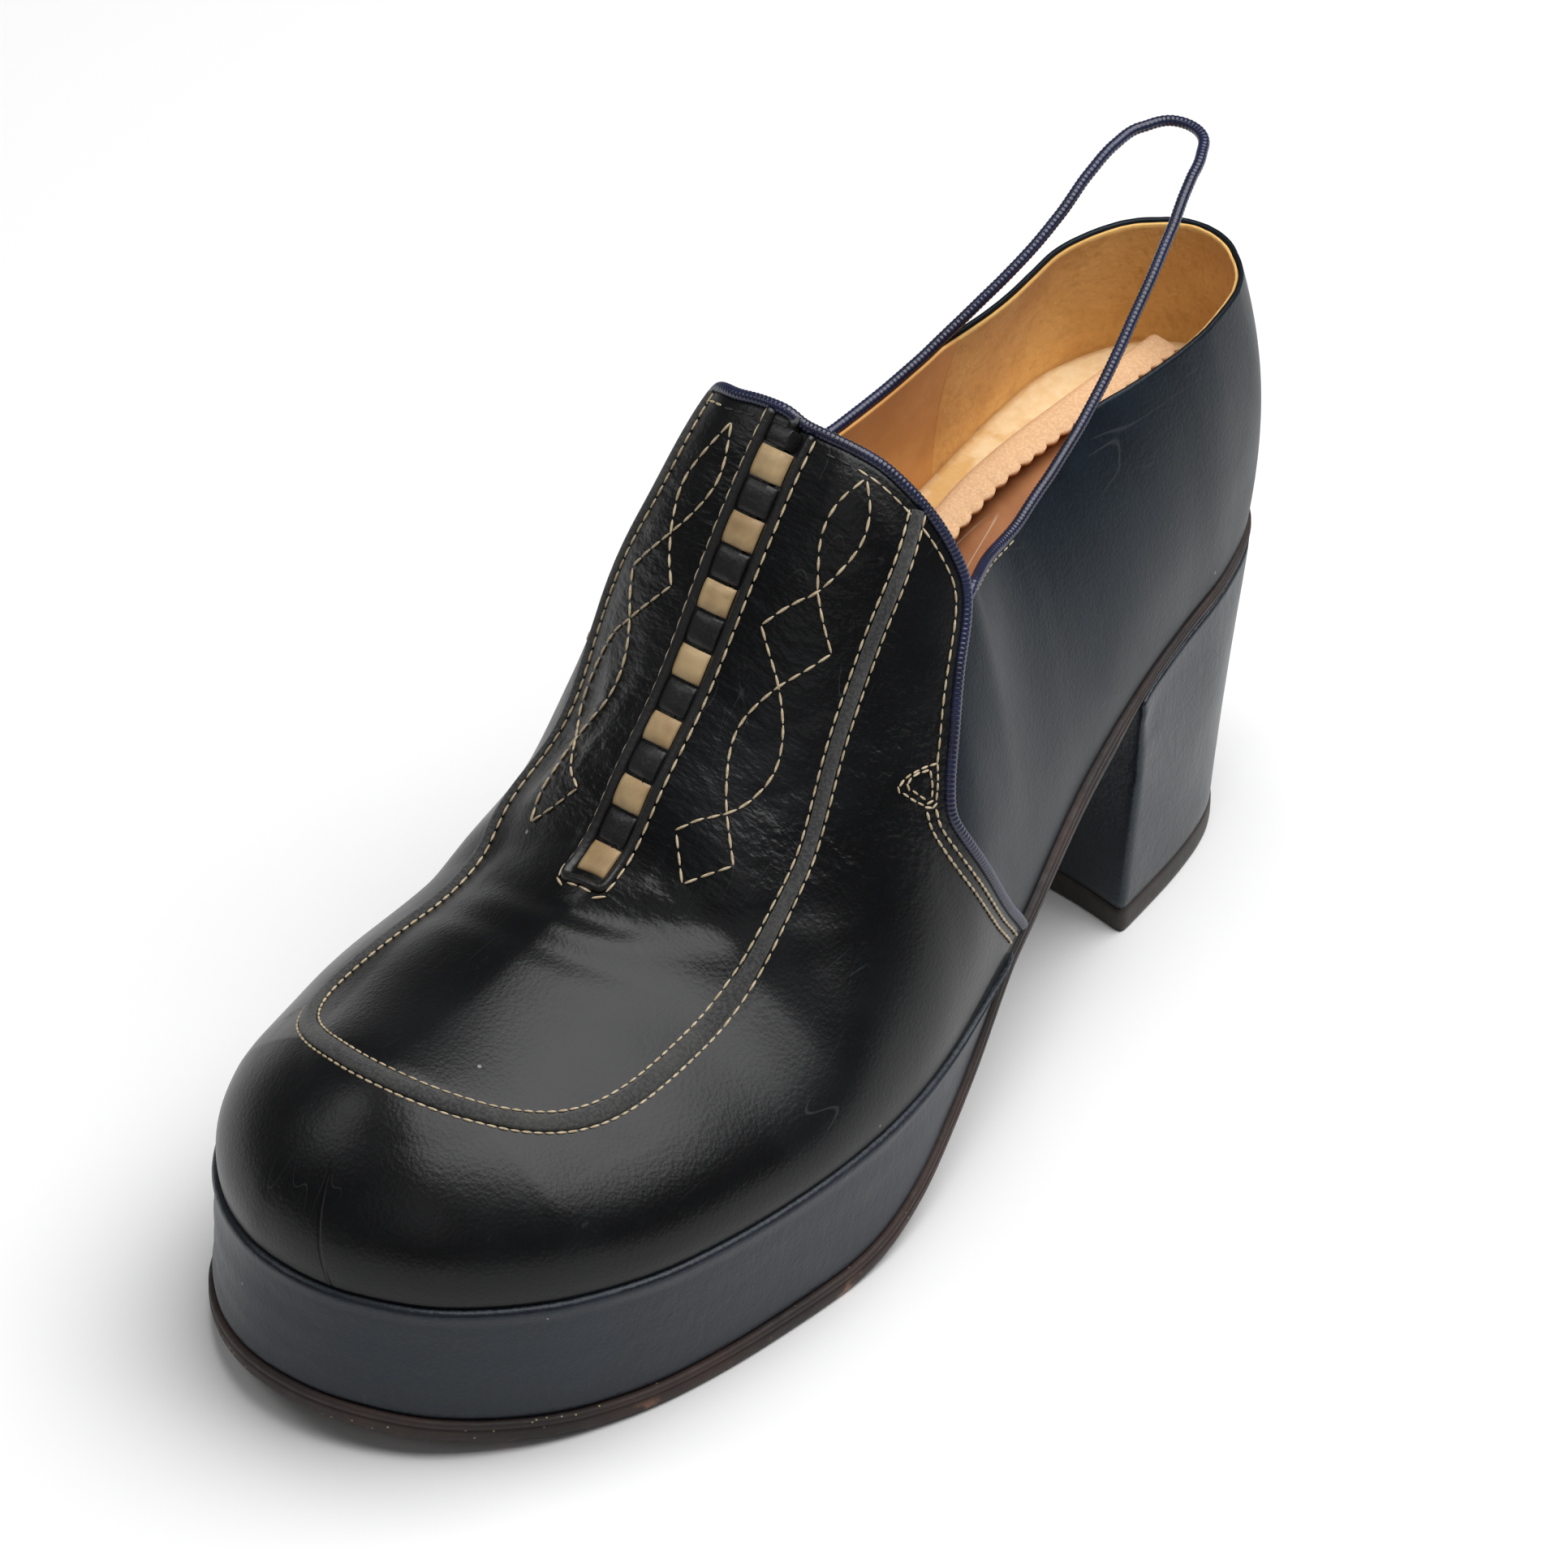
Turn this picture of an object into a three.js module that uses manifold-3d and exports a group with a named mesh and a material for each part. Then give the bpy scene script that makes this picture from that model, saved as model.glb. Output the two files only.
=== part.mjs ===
// A woman's slip-on platform shoe for the left foot, in millimetres.
// +X is the outer side of the foot, -Y the toe and +Z up; the sole and the heel stand on z = 0.

import * as THREE from 'three';
import { mergeVertices } from 'three/addons/utils/BufferGeometryUtils.js';
import Module from 'manifold-3d';

const wasm = await Module();
wasm.setup();

// Driving dimensions

const LENGTH = 290;            // sole, heel to toe
const BALL_WIDTH = 111;        // upper across the ball of the foot
const PLATFORM_HEIGHT = 34;    // floor to the upper's lower edge under the ball
const SEAT_RISE = 34;          // heel seat above the platform's top
const TOE_SPRING = 6;          // lift of the sole's toe
const INSTEP = 115;            // top of the flap above the upper's lower edge
const QUARTER_HEIGHT = 84;     // back of the collar above the heel seat

const WALL = 2.6;              // upper under the vamp, two layers
const VAMP_STEP = 1;           // vamp leather, which ends in a step over the quarters
const OUTSOLE = 5;
const WELT = 1;                // outsole beyond the platform
const PLATFORM_LIP = 0.6;      // platform beyond the upper
const SOLE_FORWARD = 2.4;      // the sole's front against the upper's, towards the toe
const SOLE_INWARD = 1.4;       // and towards the inner side
const PLATFORM_TUCK = 1.2;     // platform's foot inside its top
const HEEL_TUCK = 1.6;         // outsole drawn in under the heel seat
const INSOLE = 2.5;            // board at the ball of the foot
const SEAT_PAD = 24;           // wedge inside the shoe, which lifts the board at the heel
const SOCK = 1;
const SOCK_BED = 0.45;         // cement under the sock
const SOCK_CURL = 2.6;         // radius at which the sock's loose inner edge is rolled over
const SOCK_FLAP = 5.5;         // rolled edge, from the roll to its end
const SOCK_INSET = 2;
const TOP_LIFT = 6;
const HEEL_WIDTH = 62;
const HEEL_DEPTH = 70;
const BREAST_HOLLOW = 5;       // depth of the hollow in the heel's front
const SKEW = 12;               // the waist rises this much further forward on the inner side
const SEAM_WIDTH = 5;          // raised band round the apron
const SEAM_RISE = 1.1;
const STRIP_WIDTH = 10;        // chequered strip in the flap's slot
const STRIP_RISE = 0.9;
const WELT_WIDTH = 3.5;        // folded edges of the slot
const WELT_RISE = 1.6;
const PIPING = 1.1;            // radius of the cord in the piped edges
const GAP = 0.3;               // between pieces that touch

const AROUND = 70;             // facets round the last
const UP = 11;                 // facets from its lower edge to its ridge

// Tables: every length is a share of the size named in its comment.

function table(columns, rows) {
  return Object.fromEntries(columns.map((name, i) => [name, rows.map((row) => row[i])]));
}

// Lower edge of the upper seen from above, from the heel round the outer side to the toe and back.
const FEATHER = table(['x', 'y'], [   // shares of BALL_WIDTH and LENGTH
  [-0.018, 0.490], [0.090, 0.479], [0.171, 0.452], [0.225, 0.397], [0.252, 0.334], [0.288, 0.259],
  [0.342, 0.166], [0.405, 0.076], [0.464, -0.010], [0.509, -0.086], [0.525, -0.155], [0.518, -0.224],
  [0.491, -0.293], [0.446, -0.355], [0.369, -0.414], [0.252, -0.464], [0.117, -0.491], [0, -0.498],
  [-0.117, -0.491], [-0.234, -0.467], [-0.333, -0.428], [-0.405, -0.372], [-0.450, -0.303],
  [-0.476, -0.234], [-0.477, -0.166], [-0.450, -0.103], [-0.396, -0.041], [-0.324, 0.017],
  [-0.266, 0.069], [-0.234, 0.131], [-0.227, 0.200], [-0.234, 0.269], [-0.246, 0.338],
  [-0.239, 0.403], [-0.180, 0.455], [-0.108, 0.479],
]);

// Side view of the sole on its outer side: the upper's lower edge and the outsole's underside.
const SOLE = table(['y', 'top', 'under', 'topToe', 'underToe'], [
  // shares of LENGTH, SEAT_RISE, the outsole's full rise, and TOE_SPRING twice
  [-0.517, 0, 0, 0.75, 1.19],
  [-0.448, 0, 0, 0.42, 0.53],
  [-0.379, 0, 0, 0.17, 0.13],
  [-0.310, 0, 0, 0.02, 0],
  [-0.172, 0, 0, 0, 0],
  [-0.141, 0, 0.016, 0, 0],
  [-0.086, 0.01, 0.103, 0, 0],
  [-0.038, 0.02, 0.222, 0, 0],
  [0, 0.06, 0.333, 0, 0],
  [0.024, 0.09, 0.421, 0, 0],
  [0.052, 0.13, 0.516, 0, 0],
  [0.066, 0.17, 0.550, 0, 0],
  [0.097, 0.265, 0.600, 0, 0],
  [0.138, 0.412, 0.675, 0, 0],
  [0.193, 0.603, 0.775, 0, 0],
  [0.245, 0.721, 0.840, 0, 0],
  [0.300, 0.809, 0.888, 0, 0],
  [0.355, 0.868, 0.920, 0, 0],
  [0.414, 0.926, 0.952, 0, 0],
  [0.500, 1, 0.992, 0, 0],
]);

// Sections of the last: height of its ridge, how full each side is, how far each side bulges,
// up to which share of the height, and where the ridge lies.
const LAST = table(['y', 'ridge', 'outer', 'inner', 'outerBulge', 'innerBulge', 'bulgeTop', 'middle'], [
  // shares of LENGTH, INSTEP, and BALL_WIDTH for the last column
  [-0.390, 0.303, 1.75, 1.75, 0.05, 0.05, 0.80, 0],
  [-0.345, 0.313, 1.65, 1.65, 0.05, 0.05, 0.75, 0],
  [-0.276, 0.339, 1.60, 1.57, 0.05, 0.05, 0.70, 0],
  [-0.214, 0.361, 1.52, 1.47, 0.05, 0.05, 0.66, 0],
  [-0.172, 0.409, 1.55, 1.42, 0.05, 0.05, 0.66, 0],
  [-0.138, 0.513, 1.52, 1.47, 0.05, 0.05, 0.66, 0],
  [-0.097, 0.616, 1.50, 1.57, 0.05, 0.05, 0.68, 0],
  [-0.031, 0.835, 1.70, 2.35, 0.04, 0.05, 0.75, 0],
  [0.024, 0.974, 2.00, 3.00, 0.03, 0.07, 0.85, 0],
  [0.069, 1.018, 2.00, 3.30, 0.02, 0.10, 1.00, 0],
  [0.114, 0.861, 2.00, 3.60, 0.03, 0.18, 1.00, 0],
  [0.148, 0.772, 2.00, 3.60, 0.04, 0.20, 0.98, -0.003],
  [0.193, 0.743, 1.90, 3.00, 0.05, 0.16, 0.90, -0.005],
  [0.252, 0.740, 1.90, 2.10, 0.07, 0.10, 0.80, -0.009],
  [0.303, 0.760, 1.90, 1.95, 0.08, 0.09, 0.80, -0.014],
  [0.366, 0.775, 1.90, 1.90, 0.10, 0.10, 0.84, -0.018],
  [0.397, 0.818, 1.90, 1.90, 0.11, 0.11, 0.84, -0.018],
  [0.424, 0.815, 1.90, 1.90, 0.12, 0.12, 0.84, -0.018],
  [0.452, 0.820, 1.90, 1.90, 0.14, 0.14, 0.84, -0.018],
  [0.479, 0.944, 1.90, 1.90, 0.17, 0.17, 0.76, -0.018],
  [0.490, 1.315, 1.90, 1.90, 0.18, 0.18, 0.56, -0.018],
]);
const FAN_TOE = -0.390;        // share of LENGTH: the toe's sections turn round this place
const FAN_HEEL = 0.407;

// Collar in the side view, above the upper's lower edge.
const COLLAR = table(['y', 'z'], [   // shares of LENGTH and QUARTER_HEIGHT
  [0.069, 0.955], [0.114, 0.848], [0.148, 0.782], [0.172, 0.754], [0.207, 0.743], [0.241, 0.754],
  [0.279, 0.790], [0.303, 0.826], [0.331, 0.868], [0.366, 0.918], [0.393, 0.955], [0.410, 0.975],
  [0.428, 0.990], [0.452, 0.995], [0.517, 0.995],
]);

// Upper edge of the flap in the side view, above the platform's top.
const FLAP = table(['y', 'z'], [   // shares of LENGTH and INSTEP
  [0.024, 1], [0.033, 0.983], [0.041, 0.952], [0.052, 0.870], [0.059, 0.765],
]);

// Rear edge of the vamp in the side view, above the platform's top.
const VAMP_EDGE = table(['y', 'z'], [   // shares of LENGTH and INSTEP
  [0.056, 0.740], [0.024, 0.626], [0.005, 0.530], [-0.0045, 0.443], [0.005, 0.322], [0.036, 0.200],
  [0.066, 0.070], [0.090, -0.070],
]);

// Seam of the apron, above the upper's lower edge.
const SEAM = table(['y', 'z'], [   // shares of LENGTH and INSTEP
  [-0.500, 0.292], [-0.431, 0.288], [-0.412, 0.284], [-0.400, 0.276], [-0.385, 0.260],
  [-0.357, 0.240], [-0.324, 0.226], [-0.288, 0.220], [-0.259, 0.221], [-0.232, 0.236],
  [-0.207, 0.259], [-0.182, 0.284], [-0.143, 0.343], [-0.108, 0.408], [-0.064, 0.546],
  [-0.016, 0.700], [0.012, 0.792], [0.034, 0.858], [0.060, 0.930],
]);

// Heel seen from above, from its outer front corner round the back, at the seat and at the floor.
const HEEL = table(['seatX', 'seatY', 'floorX', 'floorY'], [
  // shares of HEEL_WIDTH and HEEL_DEPTH, from the middle of the seat's front
  [0.510, -0.014, 0.492, -0.036],
  [0.460, 0.310, 0.425, 0.290],
  [0.410, 0.570, 0.355, 0.510],
  [0.310, 0.790, 0.250, 0.640],
  [0.140, 0.925, 0.110, 0.710],
  [-0.032, 0.960, -0.032, 0.735],
  [-0.190, 0.925, -0.180, 0.720],
  [-0.325, 0.800, -0.320, 0.655],
  [-0.430, 0.590, -0.440, 0.525],
  [-0.450, 0.320, -0.500, 0.325],
  [-0.430, -0.043, -0.440, -0.100],
]);
const HEEL_FRONT = 0.259;      // share of LENGTH
const HEEL_SHAFT = 1.1;        // share of SEAT_RISE and PLATFORM_HEIGHT: above the seat

const PLATFORM_END = 0.035;    // shares of LENGTH: the wedge's thin end
const SEAM_END = 0.075;        // past the flap's edge, which trims the seam
const PIPING_START = 0.073;    // front ends of the collar's cord
const STRIP_START = -0.193;    // lower end of the strip
const PAD_START = -0.050;      // the wedge rises from here
const PAD_FULL = 0.270;        // to here
const SOCK_START = 0.150;
const SOCK_END = 0.455;        // rear end of the rolled edge
const SOCK_FOLD = -0.135;      // share of BALL_WIDTH: where the inner edge is rolled
const SKIRT = 1.1;             // share by which a cutting tool reaches past the outsole

// Readings of the tables

// Smooth curve through the rows that never overshoots them.
function read(rows, column, at) {
  const x = rows.y;
  const v = rows[column];
  const n = x.length;
  if (at <= x[0]) return v[0];
  if (at >= x[n - 1]) return v[n - 1];
  let i = 0;
  while (at > x[i + 1]) i++;
  const step = (j) => x[j + 1] - x[j];
  const slope = (j) => (v[j + 1] - v[j]) / step(j);
  const tangent = (j) => {
    if (j === 0) return slope(0);
    if (j === n - 1) return slope(n - 2);
    const a = slope(j - 1);
    const b = slope(j);
    if (a * b <= 0) return 0;
    const w = step(j - 1) + 2 * step(j);
    const u = 2 * step(j - 1) + step(j);
    return (w + u) / (u / a + w / b);
  };
  const h = step(i);
  const t = (at - x[i]) / h;
  const t2 = t * t;
  const t3 = t2 * t;
  return (2 * t3 - 3 * t2 + 1) * v[i] + (t3 - 2 * t2 + t) * h * tangent(i)
    + (3 * t2 - 2 * t3) * v[i + 1] + (t3 - t2) * h * tangent(i + 1);
}

const smooth = (a, b, x) => THREE.MathUtils.smoothstep(x, a, b);

// The inner side of the waist repeats the outer side's profile a little further forward.
function alongSole(x, y) {
  const share = y / LENGTH;
  const waist = smooth(-0.310, -0.172, share) * (1 - smooth(0.103, 0.259, share));
  const inward = THREE.MathUtils.clamp(0.5 - x / (0.85 * BALL_WIDTH), 0, 1);
  return (y + SKEW * inward * waist) / LENGTH;
}

function featherZ(x, y) {
  const at = alongSole(x, y);
  return PLATFORM_HEIGHT + SEAT_RISE * read(SOLE, 'top', at) + TOE_SPRING * read(SOLE, 'topToe', at);
}

function underZ(x, y) {
  const at = alongSole(x, y);
  const rise = PLATFORM_HEIGHT + SEAT_RISE - OUTSOLE;
  return rise * read(SOLE, 'under', at) + TOE_SPRING * read(SOLE, 'underToe', at);
}

const outsoleTopZ = (x, y) => Math.min(underZ(x, y) + OUTSOLE, featherZ(x, y) - GAP);

const featherCurve = new THREE.CatmullRomCurve3(
  FEATHER.x.map((x, i) => new THREE.Vector3(x * BALL_WIDTH, FEATHER.y[i] * LENGTH, 0)),
  true, 'catmullrom', 0.5);

// Point of the last at u round its lower edge and v from that edge to the ridge.
function last(u, v) {
  const foot = featherCurve.getPoint(((u % 1) + 1) % 1);
  const at = foot.y / LENGTH;
  const side = smooth(-0.18, 0.18, foot.x / BALL_WIDTH);
  const mix = (outer, inner) => THREE.MathUtils.lerp(read(LAST, inner, at), read(LAST, outer, at), side);
  const full = mix('outer', 'inner');
  const angle = v * Math.PI / 2;
  const up = Math.sin(angle) ** (2 / full);
  const swell = Math.sin(Math.PI * Math.min(up / read(LAST, 'bulgeTop', at), 1));
  const out = Math.cos(angle) ** (2 / full) + mix('outerBulge', 'innerBulge') * swell;
  const middle = new THREE.Vector2(
    read(LAST, 'middle', at) * BALL_WIDTH,
    THREE.MathUtils.clamp(at, FAN_TOE, FAN_HEEL) * LENGTH);
  const low = featherZ(foot.x, foot.y);
  const ridge = featherZ(foot.x, Math.max(at, FAN_TOE) * LENGTH) + INSTEP * read(LAST, 'ridge', at);
  return new THREE.Vector3(
    middle.x + (foot.x - middle.x) * out,
    middle.y + (foot.y - middle.y) * out,
    low + (ridge - low) * up);
}

const RIDGE = 0.985;           // v of the last row, which leaves a slit too narrow to matter

// The same point moved outwards, or inwards where out is negative.
function skin(u, v, out) {
  const du = 0.002;
  const dv = 0.012;
  const p = last(u, v);
  const along = last(u + du, v).sub(last(u - du, v));
  const up = last(u, Math.min(v + dv, 0.999)).sub(last(u, Math.max(v - dv, 0)));
  const normal = up.cross(along).normalize();
  if (v < 0.001) normal.setZ(0).normalize();
  const at = p.y / LENGTH;
  if (v >= RIDGE) normal.setX(0).normalize();
  if (v >= RIDGE && (at < FAN_TOE || at > FAN_HEEL)) normal.set(0, 0, 1);
  return p.addScaledVector(normal, out);
}

// First place on the rib at u where the wall reaches the height given for its own y.
function reach(u, height, out) {
  const steps = 160;
  let before = null;
  for (let i = 1; i <= steps; i++) {
    const v = RIDGE * i / steps;
    const p = skin(u, v, out);
    const over = p.z - height(p);
    if (over >= 0 && before) return before.p.lerp(p, before.over / (before.over - over));
    before = { p, over };
  }
  return before.p;
}

// Meshes and solids

// Closed geometry from vertices and faces, turned so that its faces point out.
function closed(vertices, faces) {
  let volume = 0;
  for (const [a, b, c] of faces) {
    volume += vertices[a].dot(new THREE.Vector3().crossVectors(vertices[b], vertices[c]));
  }
  const geometry = new THREE.BufferGeometry();
  geometry.setAttribute('position', new THREE.Float32BufferAttribute(vertices.flatMap((p) => p.toArray()), 3));
  geometry.setIndex(faces.flatMap(([a, b, c]) => (volume > 0 ? [a, b, c] : [a, c, b])));
  return geometry;
}

function solid(geometry) {
  const bare = geometry.clone();
  for (const name of Object.keys(bare.attributes)) {
    if (name !== 'position') bare.deleteAttribute(name);
  }
  const merged = mergeVertices(bare, 1e-4);
  return new wasm.Manifold(new wasm.Mesh({
    numProp: 3,
    vertProperties: new Float32Array(merged.attributes.position.array),
    triVerts: new Uint32Array(merged.index.array),
  }));
}

// Largest body of a solid as a geometry.
function geometryOf(manifold) {
  const body = manifold.decompose().sort((a, b) => b.volume() - a.volume())[0];
  const { vertProperties, triVerts } = body.getMesh();
  const geometry = new THREE.BufferGeometry();
  geometry.setAttribute('position', new THREE.BufferAttribute(vertProperties, 3));
  geometry.setIndex(new THREE.BufferAttribute(triVerts, 1));
  return geometry;
}

// Faces over a ring: between its two sides, from the toe to the heel, or by ears where it is hollow.
function lid(ring, start, hollow) {
  if (hollow) {
    const flat = ring.map((p) => new THREE.Vector2(p.x, p.y));
    return THREE.ShapeUtils.triangulateShape(flat, []).map((face) => face.map((i) => start + i));
  }
  const n = ring.length;
  const ys = ring.map((p) => p.y);
  const toe = ys.indexOf(Math.min(...ys));
  const heel = ys.indexOf(Math.max(...ys));
  const faces = [];
  let left = 0;
  let right = 0;
  const lefts = (heel - toe + n) % n;
  const rights = n - lefts;
  while (left < lefts || right < rights) {
    const a = (toe + left) % n;
    const b = (toe - right + n) % n;
    const nextA = (a + 1) % n;
    const nextB = (b - 1 + n) % n;
    const stepLeft = right === rights || (left < lefts && ys[nextA] <= ys[nextB]);
    const face = stepLeft ? [a, b, nextA] : [a, b, nextB];
    if (new Set(face).size === 3) faces.push(face.map((i) => start + i));
    if (stepLeft) left++;
    else right++;
  }
  return faces;
}

// Solid between rings of equal count, closed over the first and the last ring.
function loft(rings, hollow = false) {
  const n = rings[0].length;
  const vertices = rings.flat();
  const faces = [];
  for (let j = 0; j + 1 < rings.length; j++) {
    for (let i = 0; i < n; i++) {
      const a = j * n + i;
      const b = j * n + (i + 1) % n;
      faces.push([a, b, b + n], [a, b + n, a + n]);
    }
  }
  const sides = new Set(faces.flatMap(([a, b, c]) => [`${a} ${b}`, `${b} ${c}`, `${c} ${a}`]));
  for (const j of [0, rings.length - 1]) {
    const over = lid(rings[j], j * n, hollow);
    const turned = over.some(([a, b, c]) => sides.has(`${a} ${b}`) || sides.has(`${b} ${c}`) || sides.has(`${c} ${a}`));
    faces.push(...(turned ? over.map((face) => face.reverse()) : over));
  }
  return closed(vertices, faces);
}

const facets = [...Array(AROUND).keys()];

// Form of the last moved outwards by out, with a floor that drops below its lower edge by drop.
function lastSolid(out, drop = 0) {
  const ring = (v) => facets.map((i) => skin(i / AROUND, v, out));
  const floor = ring(0);
  const inward = floor.map((p) => {
    const y = THREE.MathUtils.clamp(p.y, FAN_TOE * LENGTH, FAN_HEEL * LENGTH);
    return new THREE.Vector3(p.x * 0.8, y + (p.y - y) * 0.8, p.z);
  });
  const rings = [inward, floor];
  if (drop > 0) rings.unshift(...[inward, floor].map((r) => r.map((p) => p.clone().setZ(p.z - drop))));
  const up = [...Array(UP).keys()].map((j) => ring(RIDGE * (j + 1) / UP));
  return solid(loft([...(drop > 0 ? rings.slice(0, 2) : rings), ...up]));
}

// Outline of the upper's lower edge, moved outwards by out.
const outline = (out) => facets.map((i) => skin(i / AROUND, 0, out));

// The same for the sole, whose front lies a little forward and inward of the upper's.
function soleOutline(out) {
  return facets.map((i) => {
    const at = featherCurve.getPoint(i / AROUND).y / LENGTH;
    const front = 1 - smooth(-0.24, -0.1, at);
    const p = skin(i / AROUND, 0, out - HEEL_TUCK * smooth(0.05, 0.12, at));
    return p.setX(p.x - SOLE_INWARD * front).setY(p.y - SOLE_FORWARD * front);
  });
}

// Sheet under the foot between two outlines, with its lower and upper heights given as functions.
// A skirt carries both faces on beyond the outlines, for a tool.
function slab(lower, upper, lowZ, highZ, skirt = []) {
  const ring = (edge, share, height) => edge.map((p) => {
    const y = THREE.MathUtils.clamp(p.y, FAN_TOE * LENGTH, FAN_HEEL * LENGTH);
    const q = new THREE.Vector3(p.x * share, y + (p.y - y) * share, 0);
    return q.setZ(height(q.x, q.y));
  });
  return loft([
    ring(lower, 0.08, lowZ), ring(lower, 0.55, lowZ), ring(lower, 1, lowZ),
    ...skirt.map((share) => ring(lower, share, lowZ)), ...skirt.map((share) => ring(upper, share, highZ)),
    ring(upper, 1, highZ), ring(upper, 0.55, highZ), ring(upper, 0.08, highZ),
  ]);
}

const WIDE = 2 * BALL_WIDTH;   // cutting tools reach past both sides
const TALL = 3 * INSTEP;

// Prism through the whole width, over a polygon in the side view.
function sideTool(points) {
  const shape = new THREE.Shape(points.map(([y, z]) => new THREE.Vector2(y, z)));
  const prism = new THREE.ExtrudeGeometry(shape, { depth: WIDE, bevelEnabled: false });
  prism.applyMatrix4(new THREE.Matrix4().set(0, 0, 1, -WIDE / 2, 1, 0, 0, 0, 0, 1, 0, 0, 0, 0, 0, 1));
  return solid(prism);
}

// Prism through the whole height, over a polygon seen from above.
function planTool(points) {
  const shape = new THREE.Shape(points.map(([x, y]) => new THREE.Vector2(x, y)));
  return solid(new THREE.ExtrudeGeometry(shape, { depth: TALL, bevelEnabled: false }));
}

// Edges in the side view

const collarZ = (y) => featherZ(BALL_WIDTH / 2, y) + QUARTER_HEIGHT * read(COLLAR, 'z', y / LENGTH);
const flapEdge = FLAP.y.map((y, i) => [y * LENGTH, PLATFORM_HEIGHT + INSTEP * FLAP.z[i]]);
const vampEdge = VAMP_EDGE.y.map((y, i) => [y * LENGTH, PLATFORM_HEIGHT + INSTEP * VAMP_EDGE.z[i]]);
const collarEdge = [...Array(24).keys()].map((i) => {
  const y = LENGTH * THREE.MathUtils.lerp(COLLAR.y[0], 0.52, i / 23);
  return [y, collarZ(y)];
});

// Everything above the collar and behind the flap.
function mouthTool(back) {
  const edge = [...flapEdge, ...collarEdge].map(([y, z]) => [y - back, z - back]);
  return sideTool([[edge[0][0], TALL], ...edge, [LENGTH, edge.at(-1)[1]], [LENGTH, TALL]]);
}

// Everything that the vamp covers.
function vampTool() {
  const edge = new THREE.SplineCurve(vampEdge.map(([y, z]) => new THREE.Vector2(y, z)));
  const rear = edge.getPoints(24).map((p) => [p.x, p.y]);
  return sideTool([[-LENGTH, TALL], [rear[0][0], TALL], ...rear, [-LENGTH, rear.at(-1)[1]]]);
}

// Upper

function upper() {
  const outer = lastSolid(0).intersect(vampTool());
  const quarters = lastSolid(-VAMP_STEP);
  return geometryOf(outer.add(quarters).subtract(lastSolid(-WALL, OUTSOLE)).subtract(mouthTool(0)));
}

// Layer that follows the upper at the standard gap, over a polygon seen from above.
function overlay(points, rise) {
  const layer = lastSolid(GAP + rise).subtract(lastSolid(GAP));
  const front = layer.intersect(planTool(points)).subtract(mouthTool(GAP));
  return geometryOf(front);
}

const seamZ = (p) => featherZ(p.x, p.y) + INSTEP * read(SEAM, 'z', p.y / LENGTH);

function apronSeam() {
  const path = facets.map((i) => i / AROUND)
    .filter((u) => featherCurve.getPoint(u).y < SEAM_END * LENGTH)
    .map((u) => reach(u, seamZ, 0));
  const beside = (distance) => path.map((p, i) => {
    const ahead = path[Math.min(i + 1, path.length - 1)].clone().sub(path[Math.max(i - 1, 0)]).setZ(0).normalize();
    return [p.x - ahead.y * distance, p.y + ahead.x * distance];
  });
  return overlay([...beside(SEAM_WIDTH / 2), ...beside(-SEAM_WIDTH / 2).reverse()], SEAM_RISE);
}

const slot = (half, start) => [[-half, start], [half, start], [half, INSTEP], [-half, INSTEP]];

const throatStrip = () => overlay(slot(STRIP_WIDTH / 2, STRIP_START * LENGTH), STRIP_RISE);

function slotWelts() {
  const inner = STRIP_WIDTH / 2 + GAP;
  const start = STRIP_START * LENGTH - GAP;
  const outer = inner + WELT_WIDTH;
  return overlay([
    [-outer, start - WELT_WIDTH], [outer, start - WELT_WIDTH], [outer, INSTEP],
    [inner, INSTEP], [inner, start], [-inner, start], [-inner, INSTEP], [-outer, INSTEP],
  ], WELT_RISE);
}

// Piped edges

function cord(points, steps) {
  const section = new THREE.Shape();
  section.absarc(0, 0, PIPING, 0, 2 * Math.PI);
  const path = new THREE.CatmullRomCurve3(points, false, 'centripetal');
  return new THREE.ExtrudeGeometry(section, { curveSegments: 3, steps, extrudePath: path, bevelEnabled: false });
}

// u on one side of the last, +1 outer or -1 inner, for a place along the shoe.
function aroundAt(side, y) {
  let low = side > 0 ? 0.02 : 0.98;
  let high = side > 0 ? 0.46 : 0.53;
  for (let i = 0; i < 40; i++) {
    const mid = (low + high) / 2;
    if (featherCurve.getPoint(mid).y > y) low = mid;
    else high = mid;
  }
  return (low + high) / 2;
}

function collarPiping() {
  const start = aroundAt(1, PIPING_START * LENGTH);
  const end = aroundAt(-1, PIPING_START * LENGTH) - 1;
  const count = 44;
  const out = PIPING + 2 * GAP - VAMP_STEP;
  const points = [...Array(count + 1).keys()].map((i) => {
    const u = THREE.MathUtils.lerp(start, end, i / count);
    return reach(u, (p) => collarZ(p.y) - PIPING, out);
  });
  return geometryOf(solid(cord(points, 64)).subtract(lastSolid(GAP / 2 - VAMP_STEP)));
}

function wingPiping(side) {
  const out = PIPING + GAP;
  const edge = new THREE.SplineCurve(vampEdge.slice(0, -1).map(([y, z]) => new THREE.Vector2(y, z)));
  const points = [...Array(11).keys()].map((i) => {
    const t = 0.03 + 0.94 * i / 10;
    const p = edge.getPoint(t);
    const ahead = edge.getTangent(t);
    const y = p.x - ahead.y * out;
    const z = p.y + ahead.x * out;
    return reach(aroundAt(side, y), () => z, out - VAMP_STEP);
  });
  return cord(points, 26);
}

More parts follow.
